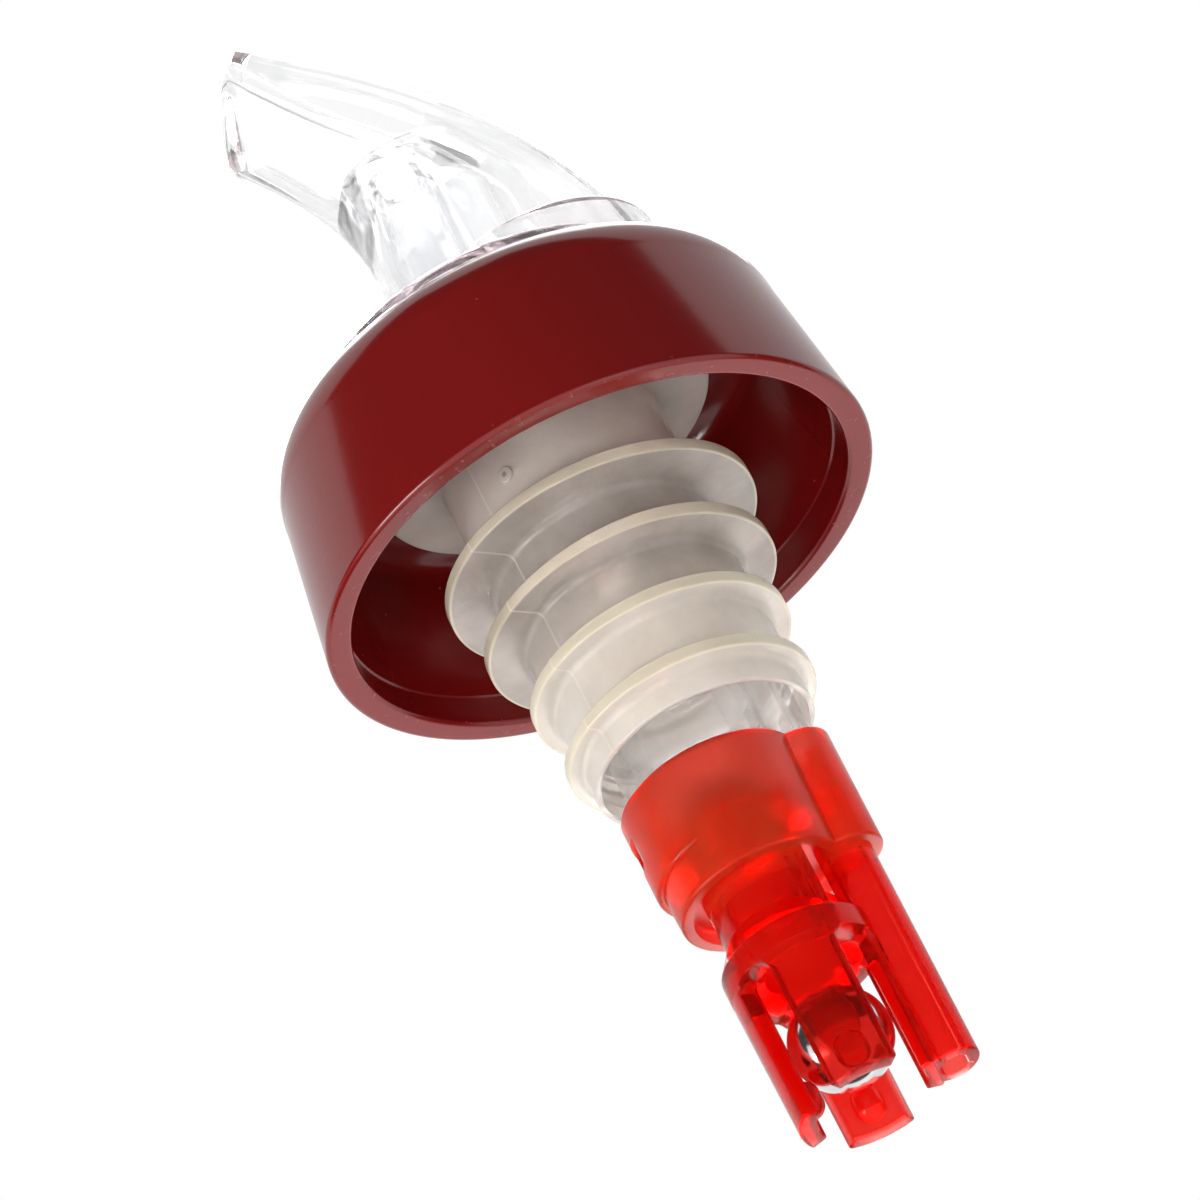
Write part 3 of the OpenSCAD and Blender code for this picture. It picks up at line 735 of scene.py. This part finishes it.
def clear_tube(finish):
    """The chamber's plastic, wet inside, which bends light little."""
    material, tree, shader, place = new_material("clear_tube")
    z = radius_and_height(tree, place)[1]
    flow = noise(tree, place, 6, 2, stretch=(1, 1, 0.4))
    scratch = scratches(tree, place, 0.25, 0.04, 0.70, 0.78)
    set_shader(tree, shader, Base_Color=(*finish.clear, 1), Transmission_Weight=1.0, IOR=1.3,
               Alpha=z.between_mm(*TUBE_SOLID_MM) * 0.5 + 0.45, Roughness=scratch * 0.04,
               Normal=bump(tree, flow, 0.01))
    return material


def collar_gloss(finish):
    """Glossy dark plastic with flow marks, a worn rim and dust."""
    material, tree, shader, place = new_material("collar_gloss")
    z = radius_and_height(tree, place)[1]
    flow = noise(tree, place, 9, 3, stretch=(1, 1, 0.4))
    scuff = noise(tree, place, 0.5, 4, 0.65, (1, 1, 0.3)).between(0.60, 0.70)
    rim = 1 - z.between_mm(*COLLAR_RIM_MM)
    worn = rim * noise(tree, place, 1.1, 4, 0.7).between(0.60, 0.72)
    dust = specks(tree, place, 1.6, 0.07, 0.12)
    shade = blend(tree, flow, finish.collar, finish.collar_deep)
    shade = blend(tree, worn * 0.12, shade, COLLAR_WORN)
    shade = blend(tree, dust * 0.15, shade, COLLAR_DUST)
    set_shader(tree, shader, Base_Color=shade, IOR=1.5, Coat_Weight=0.1, Coat_Roughness=0.04,
               Roughness=scuff * 0.10 + worn * 0.3 + dust * 0.3 + flow * 0.06 + 0.13,
               Normal=bump(tree, noise(tree, place, 1.4, 2), 0.006))
    return material


def stopper_milk(finish):
    """Frosted and milky plastic with yellower fin rims, a parting line, a gate mark and dust, with painted shade
    where the walls cling to the stem and painted light inside the lower end.
    """
    material, tree, shader, place = new_material("stopper_milk")
    size, c = (sizes(bpy.context.scene, group) for group in ("pourer_stopper", "pourer_chamber"))
    r, z = radius_and_height(tree, place)
    rim = 0.0
    for i, fin_d in enumerate((size.fin_1, size.fin_2, size.fin_3, size.fin_4)):
        edge, level = fin_d / 2, -size.fin_first - i * size.fin_pitch
        near = (z - level * MM).math("ABSOLUTE").math("LESS_THAN", size.fin_t * 0.8 * MM)
        rim = r.between_mm(*(edge - depth for depth in FIN_RIM_MM)) * near + rim
    cloud = noise(tree, place, 4.5, 4, 0.6)
    grain = noise(tree, place, 0.12, 2)
    dust = specks(tree, place, 1.9, 0.045, 0.16)
    # Inside of the lower end: painted paler as painted light from behind, and more see-through
    end = (1 - z.between_mm(*STOPPER_PAINTED_LIGHT_MM)) * (1 - r.between_mm(*STOPPER_INSIDE_MM))
    # Band where the walls cling to the stem: more see-through there, with their colour darkened as painted shade
    clear = z.between_mm(*STEM_FOOT_MM) * (1 - z.between_mm(*STEM_HEAD_MM))
    parts = Wire.node(tree, "ShaderNodeSeparateXYZ", None, {0: place})
    x, y = parts, parts.other(1)
    turn_x, turn_y = math.cos(size.seam_turn), math.sin(size.seam_turn)
    seam = 1 - (x * turn_y - y * turn_x).math("ABSOLUTE").between_mm(*SEAM_MM)
    seam = seam * (x * turn_x + y * turn_y).math("GREATER_THAN", 0.0)
    nub_r = c.stem_d / 2 + c.play + size.wall + size.nub_out
    nub = (nub_r * math.cos(size.nub_turn), nub_r * math.sin(size.nub_turn), size.nub_z)
    dot = spot(tree, place, nub, *DOT_MM)

    # In this mix the lower end's paler tone is painted light; the clouds, dust, seam and dot are marks
    shade = blend(tree, rim, finish.milk, finish.rim)
    for share, tone in ((cloud * 0.25, MILK_CLOUD), (end, finish.end), (dust * 0.7, MILK_DUST),
                        (seam * 0.5, MILK_SEAM), (dot * 0.8, MILK_DOT)):
        shade = blend(tree, share, shade, tone)
    # The colour let through is darkened over the stem as painted shade, and paled inside the lower end as painted
    # light
    frost = blend(tree, end, blend(tree, clear, finish.frost, finish.wet), finish.end)
    relief, rough = bump(tree, grain + cloud * 2, 0.012), cloud * 0.16 + 0.06
    set_shader(tree, shader, Base_Color=frost, Transmission_Weight=1.0, IOR=1.35, Roughness=rough, Normal=relief)
    milk = Wire.node(tree, "ShaderNodeBsdfPrincipled").socket.node
    set_shader(tree, milk, Base_Color=shade, IOR=1.42, Subsurface_Weight=0.5, Subsurface_Scale=0.0008,
               Subsurface_Radius=(1.0, 0.95, 0.85), Roughness=rough + 0.1, Normal=relief)
    marks = rim * 0.25 + dust * 0.4 + seam * 0.25 + dot * 0.5
    mixed(tree, cloud * 0.2 + marks + 0.36 - clear * 0.22 - end * 0.2, shader, milk)
    return material


def cap_red(finish):
    """Rough see-through and scattering red plastic, deeper where it is thick, with a torn gate mark."""
    material, tree, shader, place = new_material("cap_red")
    flow = noise(tree, place, 3, 3, stretch=(1, 1, 0.5))
    scratch = scratches(tree, place, 0.3, 0.05, 0.66, 0.76)
    torn = spot(tree, place, CAP_GATE_MM, *TORN_MM) * noise(tree, place, 0.3, 3, 0.7).between(0.4, 0.6)
    relief = bump(tree, noise(tree, place, 1.6, 2) + torn * 4, 0.012)
    thin = radius_and_height(tree, place)[1].between_mm(*CAP_THIN_MM)
    set_shader(tree, shader, Base_Color=CAP_GLASS, Transmission_Weight=1.0, IOR=1.25,
               Roughness=flow * 0.08 + thin * 0.14 + 0.12, Normal=relief)
    shade = blend(tree, flow * 0.6 + thin * 0.6 - 0.1, finish.red_deep, finish.red_thin)
    shade = blend(tree, torn * 0.6, shade, CAP_TORN)
    milk = Wire.node(tree, "ShaderNodeBsdfPrincipled").socket.node
    set_shader(tree, milk, Base_Color=shade, IOR=1.36, Subsurface_Weight=1.0, Subsurface_Scale=0.004,
               Subsurface_Radius=(1.0, 0.12, 0.07), Roughness=flow * 0.1 + scratch * 0.05 + 0.12, Normal=relief)
    mixed(tree, flow * 0.08 + thin * 0.12 + torn * 0.3 + 0.12, shader, milk)
    depth = Wire.node(tree, "ShaderNodeVolumeAbsorption", None,
                      {"Color": (*finish.red, 1), "Density": finish.depth})
    tree.links.new(depth.socket, tree.nodes["Material Output"].inputs["Volume"])
    return material


def polished_steel(finish):
    """Polished steel with a little haze and fine scratches."""
    material, tree, shader, place = new_material("polished_steel")
    haze = noise(tree, place, 2.5, 4, 0.6)
    scratch = noise(tree, place, 0.2, 3, 0.6, (1, 0.1, 1)).between(0.60, 0.70)
    shade = blend(tree, haze * 0.5, finish.steel, STEEL_HAZE)
    set_shader(tree, shader, Base_Color=shade, Metallic=1.0, Roughness=haze * 0.12 + scratch * 0.12 + 0.05,
               Normal=bump(tree, scratch, 0.002))
    return material


TREES, MADE = {}, {}


def finish(scene, maker):
    """One of the finishes, made when it is first asked for."""
    if maker not in MADE:
        MADE[maker] = maker(scene.pourer_finish)
    return MADE[maker]


# Operators


class POURER_OT_spout(bpy.types.Operator):
    """Builds the clear spout: base flange, plinth and bent nozzle with its inner passages"""

    bl_idname = "pourer.spout"
    bl_label = "Clear spout"

    def execute(self, context):
        s, c = sizes(context.scene, "pourer_spout"), sizes(context.scene, "pourer_chamber")
        base, top = s.base_z, s.base_z + s.flange_t
        flange = rod(s.flange_d / 2, base, top, edge_low=0.15, edge_high=s.flange_edge)
        seed = bpy.data.meshes.new("seed")
        nozzle = grown(TREES["nozzle_sweep"], seed, **{
            "Foot X": s.foot_x, "Foot Z": base + s.flange_t / 2, "Bend X": s.knee_x, "Bend Z": base + s.knee_h,
            "Tip X": -s.tip_x, "Tip Z": base + s.tip_h, "Foot Length": s.foot_l, "Foot Width": s.foot_w,
            "Tip Diameter": s.tip_d, "Tip Edge": s.tip_edge, "Tip Angle": s.tip_angle, "Swell": s.swell,
            "Rings": 72, "Sides": 128, "Edge Rings": 8})
        plinth = rod(s.plinth_d / 2, base + 0.4, base + s.plinth_h, s.plinth_x, edge_high=0.35)
        trim = rod(s.flange_d / 2 - 0.01, base + 0.2, base + s.tip_h + s.tip_d)
        solid = union(flange, common(union(nozzle, plinth), trim))

        vent_rise, vent_roof = 1.5, 0.9
        vent_z = c.stem_top + vent_rise
        floor = vent_z + s.vent_d / 2 + vent_roof
        room = self.room(s, c, floor, base + s.plenum_wall, c.riser_top + s.plenum_head)
        passage = turned([(0, -s.tip_d / 2), (s.bore_d / 2, -s.tip_d / 2), (s.bore_d / 2, s.bore_l),
                          (s.throat_d / 2, s.bore_l + s.throat_l), (0, s.bore_l + s.throat_l)])
        lead = s.tip_edge * Vector((-math.cos(s.tip_angle), 0, math.sin(s.tip_angle)))
        mouth = Vector((-s.tip_x, 0, base + s.tip_h)) + lead
        passage.transform(Matrix.Translation(mouth) @ Matrix.Rotation(math.pi / 2 + s.bore_angle, 4, "Y"))
        socket = rod(c.stem_d / 2 + c.play, base - PAST, c.stem_top)
        well = rod(c.riser_d / 2 + c.play, c.stem_top - PAST, floor + PAST, c.tube_x)
        riser_vent = rod(s.vent_d / 2, c.stem_top - PAST, vent_z, c.air_x, steps=BORE_STEPS)
        side_vent = rod(s.vent_d / 2, 0, s.flange_d, steps=BORE_STEPS)
        side_vent.transform(Matrix.Translation((c.air_x, 0, vent_z)) @ Matrix.Rotation(math.pi / 2, 4, "Y"))
        solid = cut(solid, room, passage, socket, well, riser_vent, side_vent)
        piece(solid, "clear_spout", finish(context.scene, clear_moulding), "spout", clear=True)
        return {"FINISHED"}

    @staticmethod
    def room(s, c, floor, bend, top):
        """The room round the riser: upright, then with its back sloping in over the riser."""
        foot_r, head_r, edge, soft, rings = s.plenum_d / 2, s.plenum_top / 2, 0.5, 1.2, []

        def ring(z, draw):
            rise = z - bend
            if abs(rise) < soft:
                rise = (rise + soft) ** 2 / (4 * soft)
            lean = max(0, rise) / (top - bend)
            x, r = s.plenum_x + (c.tube_x - s.plenum_x) * lean, foot_r + (head_r - foot_r) * lean - draw
            rings.append((arc(x, 0, r, 0, 360, 96)[:-1], z))

        turns = [math.pi / 16 * i for i in range(9)]
        for a in turns:
            ring(floor + edge * (1 - math.cos(a)), edge * (1 - math.sin(a)))
        for i in range(13):
            ring(bend + soft * (i / 6 - 1), 0)
        for a in turns:
            ring(top - edge + edge * math.sin(a), edge * (1 - math.cos(a)))
        return loft(rings)


class POURER_OT_collar(bpy.types.Operator):
    """Builds the glossy collar that hangs over the bottle's lip"""

    bl_idname = "pourer.collar"
    bl_label = "Shroud collar"

    def execute(self, context):
        k, c = sizes(context.scene, "pourer_collar"), sizes(context.scene, "pourer_chamber")
        lip = sizes(context.scene, "pourer_stopper").flange_t
        rim, shoulder, e = k.rim_d / 2, k.shoulder_d / 2, k.edge
        ceiling = k.top_z - k.top_t
        inner_rim, inner_top = rim - k.wall, shoulder - k.wall
        hole, boss = c.stem_d / 2 + c.play, k.boss_d / 2
        profile = [
            *arc(rim - e, k.rim_z + e, e, -90, 0, 8),
            *arc(shoulder - k.shoulder_r, k.top_z - k.shoulder_r, k.shoulder_r, 0, 90, 24),
            *arc(hole + 0.2, k.top_z - 0.2, 0.2, 90, 180, 4), *arc(hole + 0.2, lip + 0.2, 0.2, 180, 270, 4),
            *arc(boss - 0.3, lip + 0.3, 0.3, -90, 0, 5), *arc(boss + 0.4, ceiling - 0.4, 0.4, 180, 90, 5),
            *arc(inner_top - k.inner_r, ceiling - k.inner_r, k.inner_r, 90, 0, 16),
            (inner_rim - k.rebate, k.rim_z + k.rebate_h + 0.1), (inner_rim, k.rim_z + k.rebate_h),
            *arc(inner_rim + e, k.rim_z + e, e, 180, 270, 8)]
        solid = turned([*profile, profile[0]], steps=256)
        piece(solid, "shroud_collar", finish(context.scene, collar_gloss), "collar")
        return {"FINISHED"}


class POURER_OT_stopper(bpy.types.Operator):
    """Builds the milky stopper with its lip flange, four soft fins, parting lines and gate nub"""

    bl_idname = "pourer.stopper"
    bl_label = "Finned stopper"

    def execute(self, context):
        s, c = sizes(context.scene, "pourer_stopper"), sizes(context.scene, "pourer_chamber")
        bore = c.stem_d / 2 + c.play
        neck, flange = bore + s.wall, s.flange_d / 2
        fins = [s.fin_1 / 2, s.fin_2 / 2, s.fin_3 / 2, s.fin_4 / 2]
        e, t, f, slope = 0.12, s.fin_t / 2, s.fin_root, 0.12
        profile = [*arc(bore + 0.2, s.flange_t - 0.2, 0.2, 180, 90, 3),
                   *arc(flange - e, s.flange_t - e, e, 90, 0, 5), *arc(flange - e, e, e, 0, -90, 5),
                   *arc(neck + s.root_r, -s.root_r, s.root_r, 90, 180, 14)]
        for i, r in enumerate(fins):
            z = -s.fin_first - i * s.fin_pitch
            profile += [(neck, z + t + slope + f + 1.2), *arc(neck + f, z + t + slope + f, f, 180, 270, 8),
                        *arc(r - e, z + t - e, e, 90, 0, 5), *arc(r - e, z - t + e, e, 0, -90, 5),
                        *arc(neck + f, z - t - slope - f, f, 90, 180, 8)]
        end_bore = neck - s.end_wall
        profile += [*arc(neck - 0.15, s.end_z + 0.15, 0.15, 0, -90, 4), (end_bore, s.end_z),
                    (end_bore, c.stem_z), (bore, c.stem_z)]
        solid = turned([*profile, profile[0]], steps=288)
        # The fins wave more towards their rims, and the parting line is a thin ridge
        soft_w, ridge_w, highest = 2.5, 0.14, -s.fin_first + 1.5
        for vertex in solid.vertices:
            x, y, z = vertex.co
            r, turn = math.hypot(x, y), math.atan2(y, x)
            out = max(0.0, min(1.0, (r - neck) / soft_w))
            if z < highest:
                vertex.co.z += out * s.warp * (math.sin(2 * turn + z) + 0.6 * math.sin(3 * turn - 0.7 * z))
            if r > neck - 0.05 and z < s.flange_t - 0.4:
                along = r * abs(math.sin(turn - s.seam_turn))
                ridge = s.seam * math.exp(-(along / ridge_w) ** 2)
                vertex.co.x += ridge * math.cos(turn)
                vertex.co.y += ridge * math.sin(turn)
        nub = rod(s.nub_d / 2, -0.5, s.nub_out, edge_high=0.12, steps=48)
        nub.transform(Matrix.Rotation(s.nub_turn, 4, "Z") @ Matrix.Translation((neck, 0, s.nub_z))
                      @ Matrix.Rotation(math.pi / 2, 4, "Y"))
        solid = union(solid, nub)
        piece(solid, "fin_stopper", finish(context.scene, stopper_milk), "stopper")
        return {"FINISHED"}


class POURER_OT_chamber(bpy.types.Operator):
    """Builds the clear stem, ball chamber, air tube and outlet riser"""

    bl_idname = "pourer.chamber"
    bl_label = "Ball chamber"

    def execute(self, context):
        c = sizes(context.scene, "pourer_chamber")
        stem = rod(c.stem_d / 2, c.stem_z, c.stem_top, edge_low=0.4, edge_high=0.1)
        tube = prism(twin_outline(c, c.tube_d / 2, c.air_d / 2), c.end_z, c.stem_z + 8, edge_low=0.2)
        riser = rod(c.riser_d / 2, c.seat_low, c.riser_top, c.tube_x, edge_high=0.25)
        face, half = c.tube_x - c.tube_d / 2, c.catch_w / 2
        hook = loft([([(face + 0.7, -half), (face + 0.7, half), (face - out, half), (face - out, -half)][::-1], z)
                     for z, out in ((c.catch_z - c.catch_h / 2, -0.65), (c.catch_z, c.catch_out),
                                    (c.catch_z + c.catch_h / 2, c.catch_out))])
        solid = union(stem, tube, riser, hook)
        bore, riser_bore = c.bore_d / 2, c.riser_bore / 2
        low, high = c.end_z - PAST, c.riser_top + PAST
        room = turned([(0, low), (bore, low), (bore, c.seat_low), (riser_bore, c.seat_top), (riser_bore, high),
                       (0, high)], c.tube_x)
        air = rod(c.air_bore / 2, low, c.stem_top + PAST, c.air_x, steps=BORE_STEPS)
        piece(cut(solid, room, air), "clear_chamber", finish(context.scene, clear_tube), "chamber_body",
              clear=True)
        return {"FINISHED"}


class POURER_OT_tail_cap(bpy.types.Operator):
    """Builds the red tail cap: sleeve, skirt, inlet neck, ball cage and air leg"""

    bl_idname = "pourer.tail_cap"
    bl_label = "Tail cap"

    def execute(self, context):
        k, c = sizes(context.scene, "pourer_cap"), sizes(context.scene, "pourer_chamber")
        axis = c.tube_x
        sleeve, lobe = c.tube_d / 2 + c.play + k.wall, c.air_d / 2 + c.play + k.wall
        outer = prism(twin_outline(c, sleeve, lobe), k.skirt_z, k.top_z, edge_low=0.25, edge_high=0.08,
                      foot=twin_outline(c, sleeve - k.taper, lobe))
        pad = rod(sleeve + k.pad_out - k.pad_shift, k.top_z - k.pad_l, k.top_z - 0.02, axis - k.pad_shift,
                  edge_low=0.4, edge_high=0.08)
        strip = [(axis - 0.15, -sleeve - 0.04), (axis + 0.5, -sleeve - 0.02), (axis + 0.5, sleeve + 0.02),
                 (axis - 0.15, sleeve + 0.04)]
        seam = prism(strip, k.skirt_z + 0.3, k.top_z - 0.1)
        for vertex in seam.vertices:
            if vertex.co.z < k.skirt_z + 1:
                vertex.co.y *= (sleeve - k.taper) / sleeve
        neck_r = k.neck_d / 2
        neck_line = [(axis + k.neck_flat, -neck_r), (axis + k.neck_flat, neck_r),
                     *arc(axis, 0, neck_r, 90, 270, 48)]
        neck = prism(neck_line, k.head_z - 0.2, k.floor_z + 1)
        head_r, cage_r = k.head_d / 2, k.cage_bore / 2
        head = turned([(0, k.window_z), *arc(head_r - 0.15, k.window_z + 0.15, 0.15, -90, 0, 4),
                       *arc(head_r - 0.3, k.head_z - 0.1, 0.3, 0, 57, 5), (neck_r, k.shoulder_z),
                       (0, k.shoulder_z)], axis)
        air_tube = rod(c.air_d / 2, k.end_z, k.floor_z + 0.5, c.air_x, edge_low=0.2, steps=96)
        web = box((axis + cage_r + 0.3, -c.air_bore / 2, k.end_z + 0.05),
                  (c.air_x, c.air_bore / 2, k.window_z + 2))
        solid = union(outer, pad, seam, neck, head, air_tube, web)

        socket = prism(twin_outline(c, c.tube_d / 2 + c.play, c.air_d / 2 + c.play), c.end_z, k.top_z + PAST)
        recess = prism(twin_outline(c, sleeve - k.wall - k.taper, lobe - k.wall), k.skirt_z - PAST, k.floor_z,
                       edge_high=0.3)
        low, high = k.skirt_z - 2 * PAST, k.floor_z + PAST
        recess = cut(recess, prism(neck_line, low, high), rod(c.air_d / 2, low, high, c.air_x, steps=96))
        half_w, half_h = c.catch_w / 2 + c.play, c.catch_h / 2 + c.play
        window = box((axis - sleeve - PAST, -half_w, c.catch_z - half_h),
                     (axis - sleeve + k.wall + 0.3, half_w, c.catch_z + half_h))
        bore, seat = k.neck_bore / 2, k.window_z + (cage_r - k.neck_bore / 2) / 2
        lead = c.bore_d / 2
        low, high = k.window_z - PAST, c.end_z + PAST
        inlet = turned([(0, low), (cage_r, low), (cage_r, k.window_z), (bore, seat),
                        (bore, c.end_z - (lead - bore) / 2), (lead, c.end_z), (lead, high), (0, high)], axis)
        air = rod(c.air_bore / 2, k.end_z - PAST, k.top_z, c.air_x, steps=BORE_STEPS)
        solid = cut(solid, socket, recess, window, inlet, air)

        ring = {"Count": 3, "First Turn": math.pi / 2, "Turn": math.pi / 2}
        legs = grown(TREES["leg_ring"], self.leg(k, k.leg_angle), **ring)
        air_leg = self.leg(k, k.air_leg_angle)
        nub = turned([(0, k.nub_low - k.nub_r), *arc(0, k.nub_low, k.nub_r, -80, 0, 10),
                      *arc(0, k.nub_top, k.nub_r, 0, 80, 10), (0, k.nub_top + k.nub_r)], cage_r - k.nub_out, 48)
        nubs = grown(TREES["leg_ring"], nub, **ring)
        for part in (legs, air_leg, nubs):
            part.transform(Matrix.Translation((axis, 0, 0)))
        air_leg = cut(air_leg, air)
        solid = union(solid, legs, air_leg, nubs)
        piece(solid, "cage_cap", finish(context.scene, cap_red), "tail_cap")
        return {"FINISHED"}

    @staticmethod
    def leg(k, spread):
        """One leg of the cage round +X: a curved bar that flares into the head and thins to its end."""
        inner, root = k.cage_bore / 2, k.leg_root

        def at(r, turn):
            return r * math.cos(turn), r * math.sin(turn)

        def outline(outer, half):
            """The leg's section: an outer and an inner arc with rounded corners."""
            c, points = k.corner, []
            for r, inward, side in ((outer, -c, -1), (outer, -c, 1), (inner, c, 1), (inner, c, -1)):
                turn, lean = side * half, c / r
                corner = [at(r + inward, turn), at(r + 0.29 * inward, turn - 0.29 * side * lean),
                          at(r, turn - side * lean)]
                if (r == outer) == (side < 0):
                    near = turn - side * lean
                    points += corner + [at(r, near - 2 * near * i / 14) for i in range(1, 14)]
                else:
                    points += corner[::-1]
            return points

        rows = rounded(outline(k.head_d / 2 - k.leg_taper, spread / 2), k.end_z, k.corner)
        for i in range(9):
            a = math.pi / 2 * i / 8
            z = k.window_z - root + root * math.sin(a)
            flare = root * (1 - math.cos(a)) / (k.head_d / 2)
            rows.append((outline(k.head_d / 2 - 0.02, spread / 2 + flare), z))
        rows.append((rows[-1][0], k.window_z + 0.5))
        return loft(rows)


class POURER_OT_balls(bpy.types.Operator):
    """Gives the three steel balls their finish"""

    bl_idname = "pourer.balls"
    bl_label = "Steel balls"

    def execute(self, context):
        steel = finish(context.scene, polished_steel)
        for name in ("tail_ball", "lower_timing_ball", "upper_timing_ball"):
            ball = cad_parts[name]
            ball.data.materials.clear()
            ball.data.materials.append(steel)
        return {"FINISHED"}


class POURER_OT_stage(bpy.types.Operator):
    """Sets up the camera, the lights, the white world and the floor"""

    bl_idname = "pourer.stage"
    bl_label = "Studio"

    def execute(self, context):
        studio = context.scene.pourer_studio
        scene = context.scene
        scene.view_settings.view_transform = "Standard"
        scene.cycles.max_bounces = LIGHT_BOUNCES
        scene.cycles.transmission_bounces = scene.cycles.glossy_bounces = LIGHT_BOUNCES
        camera = bpy.data.objects.new("camera", bpy.data.cameras.new("camera"))
        scene.collection.objects.link(camera)
        camera.data.lens, camera.data.sensor_width = studio.lens, SENSOR_MM
        camera.data.clip_start, camera.data.clip_end = 0.01, 100
        right, up = Vector(CAMERA_RIGHT).normalized(), Vector(CAMERA_UP)
        back = right.cross(up).normalized()
        up = back.cross(right)
        camera.matrix_world = Matrix.LocRotScale(Vector(CAMERA_MM) * MM,
                                                 Matrix((right, up, back)).transposed(), None)
        scene.camera = camera
        self.world(scene, studio)
        lamps = {name: self.lamp(scene, name, place, getattr(studio, power), size)
                 for name, (place, size, power) in LAMPS.items()}
        lamps["front"].visible_transmission = False
        lamps["front"].visible_glossy = lamps["back"].visible_glossy = False
        self.floor(studio)
        dark = self.dark("card_dark", studio.card, studio.haze)
        self.card("front_card", dark, Vector((0, -1, 0)), Vector((0, 0, 1)), 1.5, (-75, 75), (4, 80))
        line = self.dark("card_line", studio.card, studio.line)
        for name, aim, side in (("left_card", -right, up), ("right_card", right, up), ("high_card", up, right),
                                ("low_card", -up, right)):
            self.card(name, line, aim, side, 0.7, (-14, 14), (-40, 40))
        return {"FINISHED"}

    @staticmethod
    def dark(name, gloss, through):
        """A dark card's own glow, as gloss shows it and as it is seen through clear plastic."""
        material = bpy.data.materials.new(name)
        material.use_nodes = True
        tree = material.node_tree
        passed = Wire.node(tree, "ShaderNodeLightPath", None, None, "Is Transmission Ray")
        glow = Wire.node(tree, "ShaderNodeEmission", None,
                         {"Color": (1, 1, 1, 1), "Strength": passed * (through - gloss) + gloss})
        tree.links.new(glow.socket, tree.nodes["Material Output"].inputs["Surface"])
        return material

    @staticmethod
    def world(scene, studio):
        """A white background that lights the object less than it is seen."""
        world = bpy.data.worlds.new("studio")
        world.use_nodes = True
        scene.world = world
        tree = world.node_tree
        seen = shown(tree)
        ground = tree.nodes["Background"]
        ground.inputs["Color"].default_value = (1, 1, 1, 1)
        tree.links.new((studio.ambient + seen * (1 - studio.ambient)).socket, ground.inputs["Strength"])

    @staticmethod
    def lamp(scene, name, place, power, size):
        """A square lamp that points at the object."""
        light = bpy.data.lights.new(name, "AREA")
        light.energy, light.size = power, size
        lamp = bpy.data.objects.new(name, light)
        lamp.location = place
        aim = Vector(LAMP_AIM) - lamp.location
        lamp.rotation_euler = aim.to_track_quat("-Z", "Y").to_euler()
        scene.collection.objects.link(lamp)
        return lamp

    @staticmethod
    def card(name, material, aim, up, distance, spread, rise):
        """A curved dark card round the object, seen only in gloss and through clear plastic."""
        across = up.cross(aim).normalized()
        over = aim.cross(across).normalized()
        bm = bmesh.new()
        rows = []
        for j in range(9):
            tilt = math.radians(rise[0] + (rise[1] - rise[0]) * j / 8)
            turns = [math.radians(spread[0] + (spread[1] - spread[0]) * i / 16) for i in range(17)]
            rows.append([bm.verts.new(distance * (math.cos(tilt) * (math.cos(a) * aim + math.sin(a) * across)
                                                  + math.sin(tilt) * over)) for a in turns])
        for low, high in zip(rows, rows[1:]):
            for i in range(16):
                bm.faces.new((low[i], low[i + 1], high[i + 1], high[i]))
        mesh = bpy.data.meshes.new(name)
        bm.to_mesh(mesh)
        bm.free()
        mesh.materials.append(material)
        made = placed(mesh, name)
        made.visible_camera = made.visible_diffuse = made.visible_shadow = made.visible_volume_scatter = False

    @staticmethod
    def floor(studio):
        """A wide white floor below the object."""
        mesh = bpy.data.meshes.new("floor")
        reach, z = 12, studio.floor_z
        mesh.from_pydata([(-reach, -reach, z), (reach, -reach, z), (reach, reach, z), (-reach, reach, z)], [],
                         [(0, 1, 2, 3)])
        material, tree, shader, _ = new_material("floor_white")
        set_shader(tree, shader, Base_Color=(0.9, 0.9, 0.9, 1), Roughness=0.7)
        glow = Wire.node(tree, "ShaderNodeEmission", None, {"Color": (1, 1, 1, 1), "Strength": 1.0})
        mixed(tree, shown(tree) * 0.9, shader, glow.socket.node)
        mesh.materials.append(material)
        placed(mesh, "floor")


OPERATORS = (POURER_OT_spout, POURER_OT_collar, POURER_OT_stopper, POURER_OT_chamber, POURER_OT_tail_cap,
             POURER_OT_balls, POURER_OT_stage)


class POURER_PT_panel(bpy.types.Panel):
    """Lists the pourer's pieces and their sizes"""

    bl_idname = "POURER_PT_panel"
    bl_label = "Measured bottle pourer"
    bl_space_type = "VIEW_3D"
    bl_region_type = "UI"
    bl_category = "Pourer"

    def draw(self, context):
        for group in GROUPS:
            holder = getattr(context.scene, group)
            column = self.layout.box().column(align=True)
            for key in holder.__annotations__:
                column.prop(holder, key)
        for operator in OPERATORS:
            self.layout.operator(operator.bl_idname)


CLASSES = (*GROUPS.values(), *OPERATORS, POURER_PT_panel)


def register():
    for item in CLASSES:
        bpy.utils.register_class(item)
    for name, group in GROUPS.items():
        setattr(bpy.types.Scene, name, PointerProperty(type=group))


def unregister():
    for name in GROUPS:
        delattr(bpy.types.Scene, name)
    for item in reversed(CLASSES):
        bpy.utils.unregister_class(item)


def main():
    register()
    TREES.update(turned_piece=turning_tree(), nozzle_sweep=nozzle_tree(), leg_ring=leg_ring_tree())
    bpy.ops.pourer.stage()
    bpy.ops.pourer.collar()
    bpy.ops.pourer.stopper()
    bpy.ops.pourer.chamber()
    bpy.ops.pourer.spout()
    bpy.ops.pourer.tail_cap()
    bpy.ops.pourer.balls()


if __name__ == "__main__":
    main()
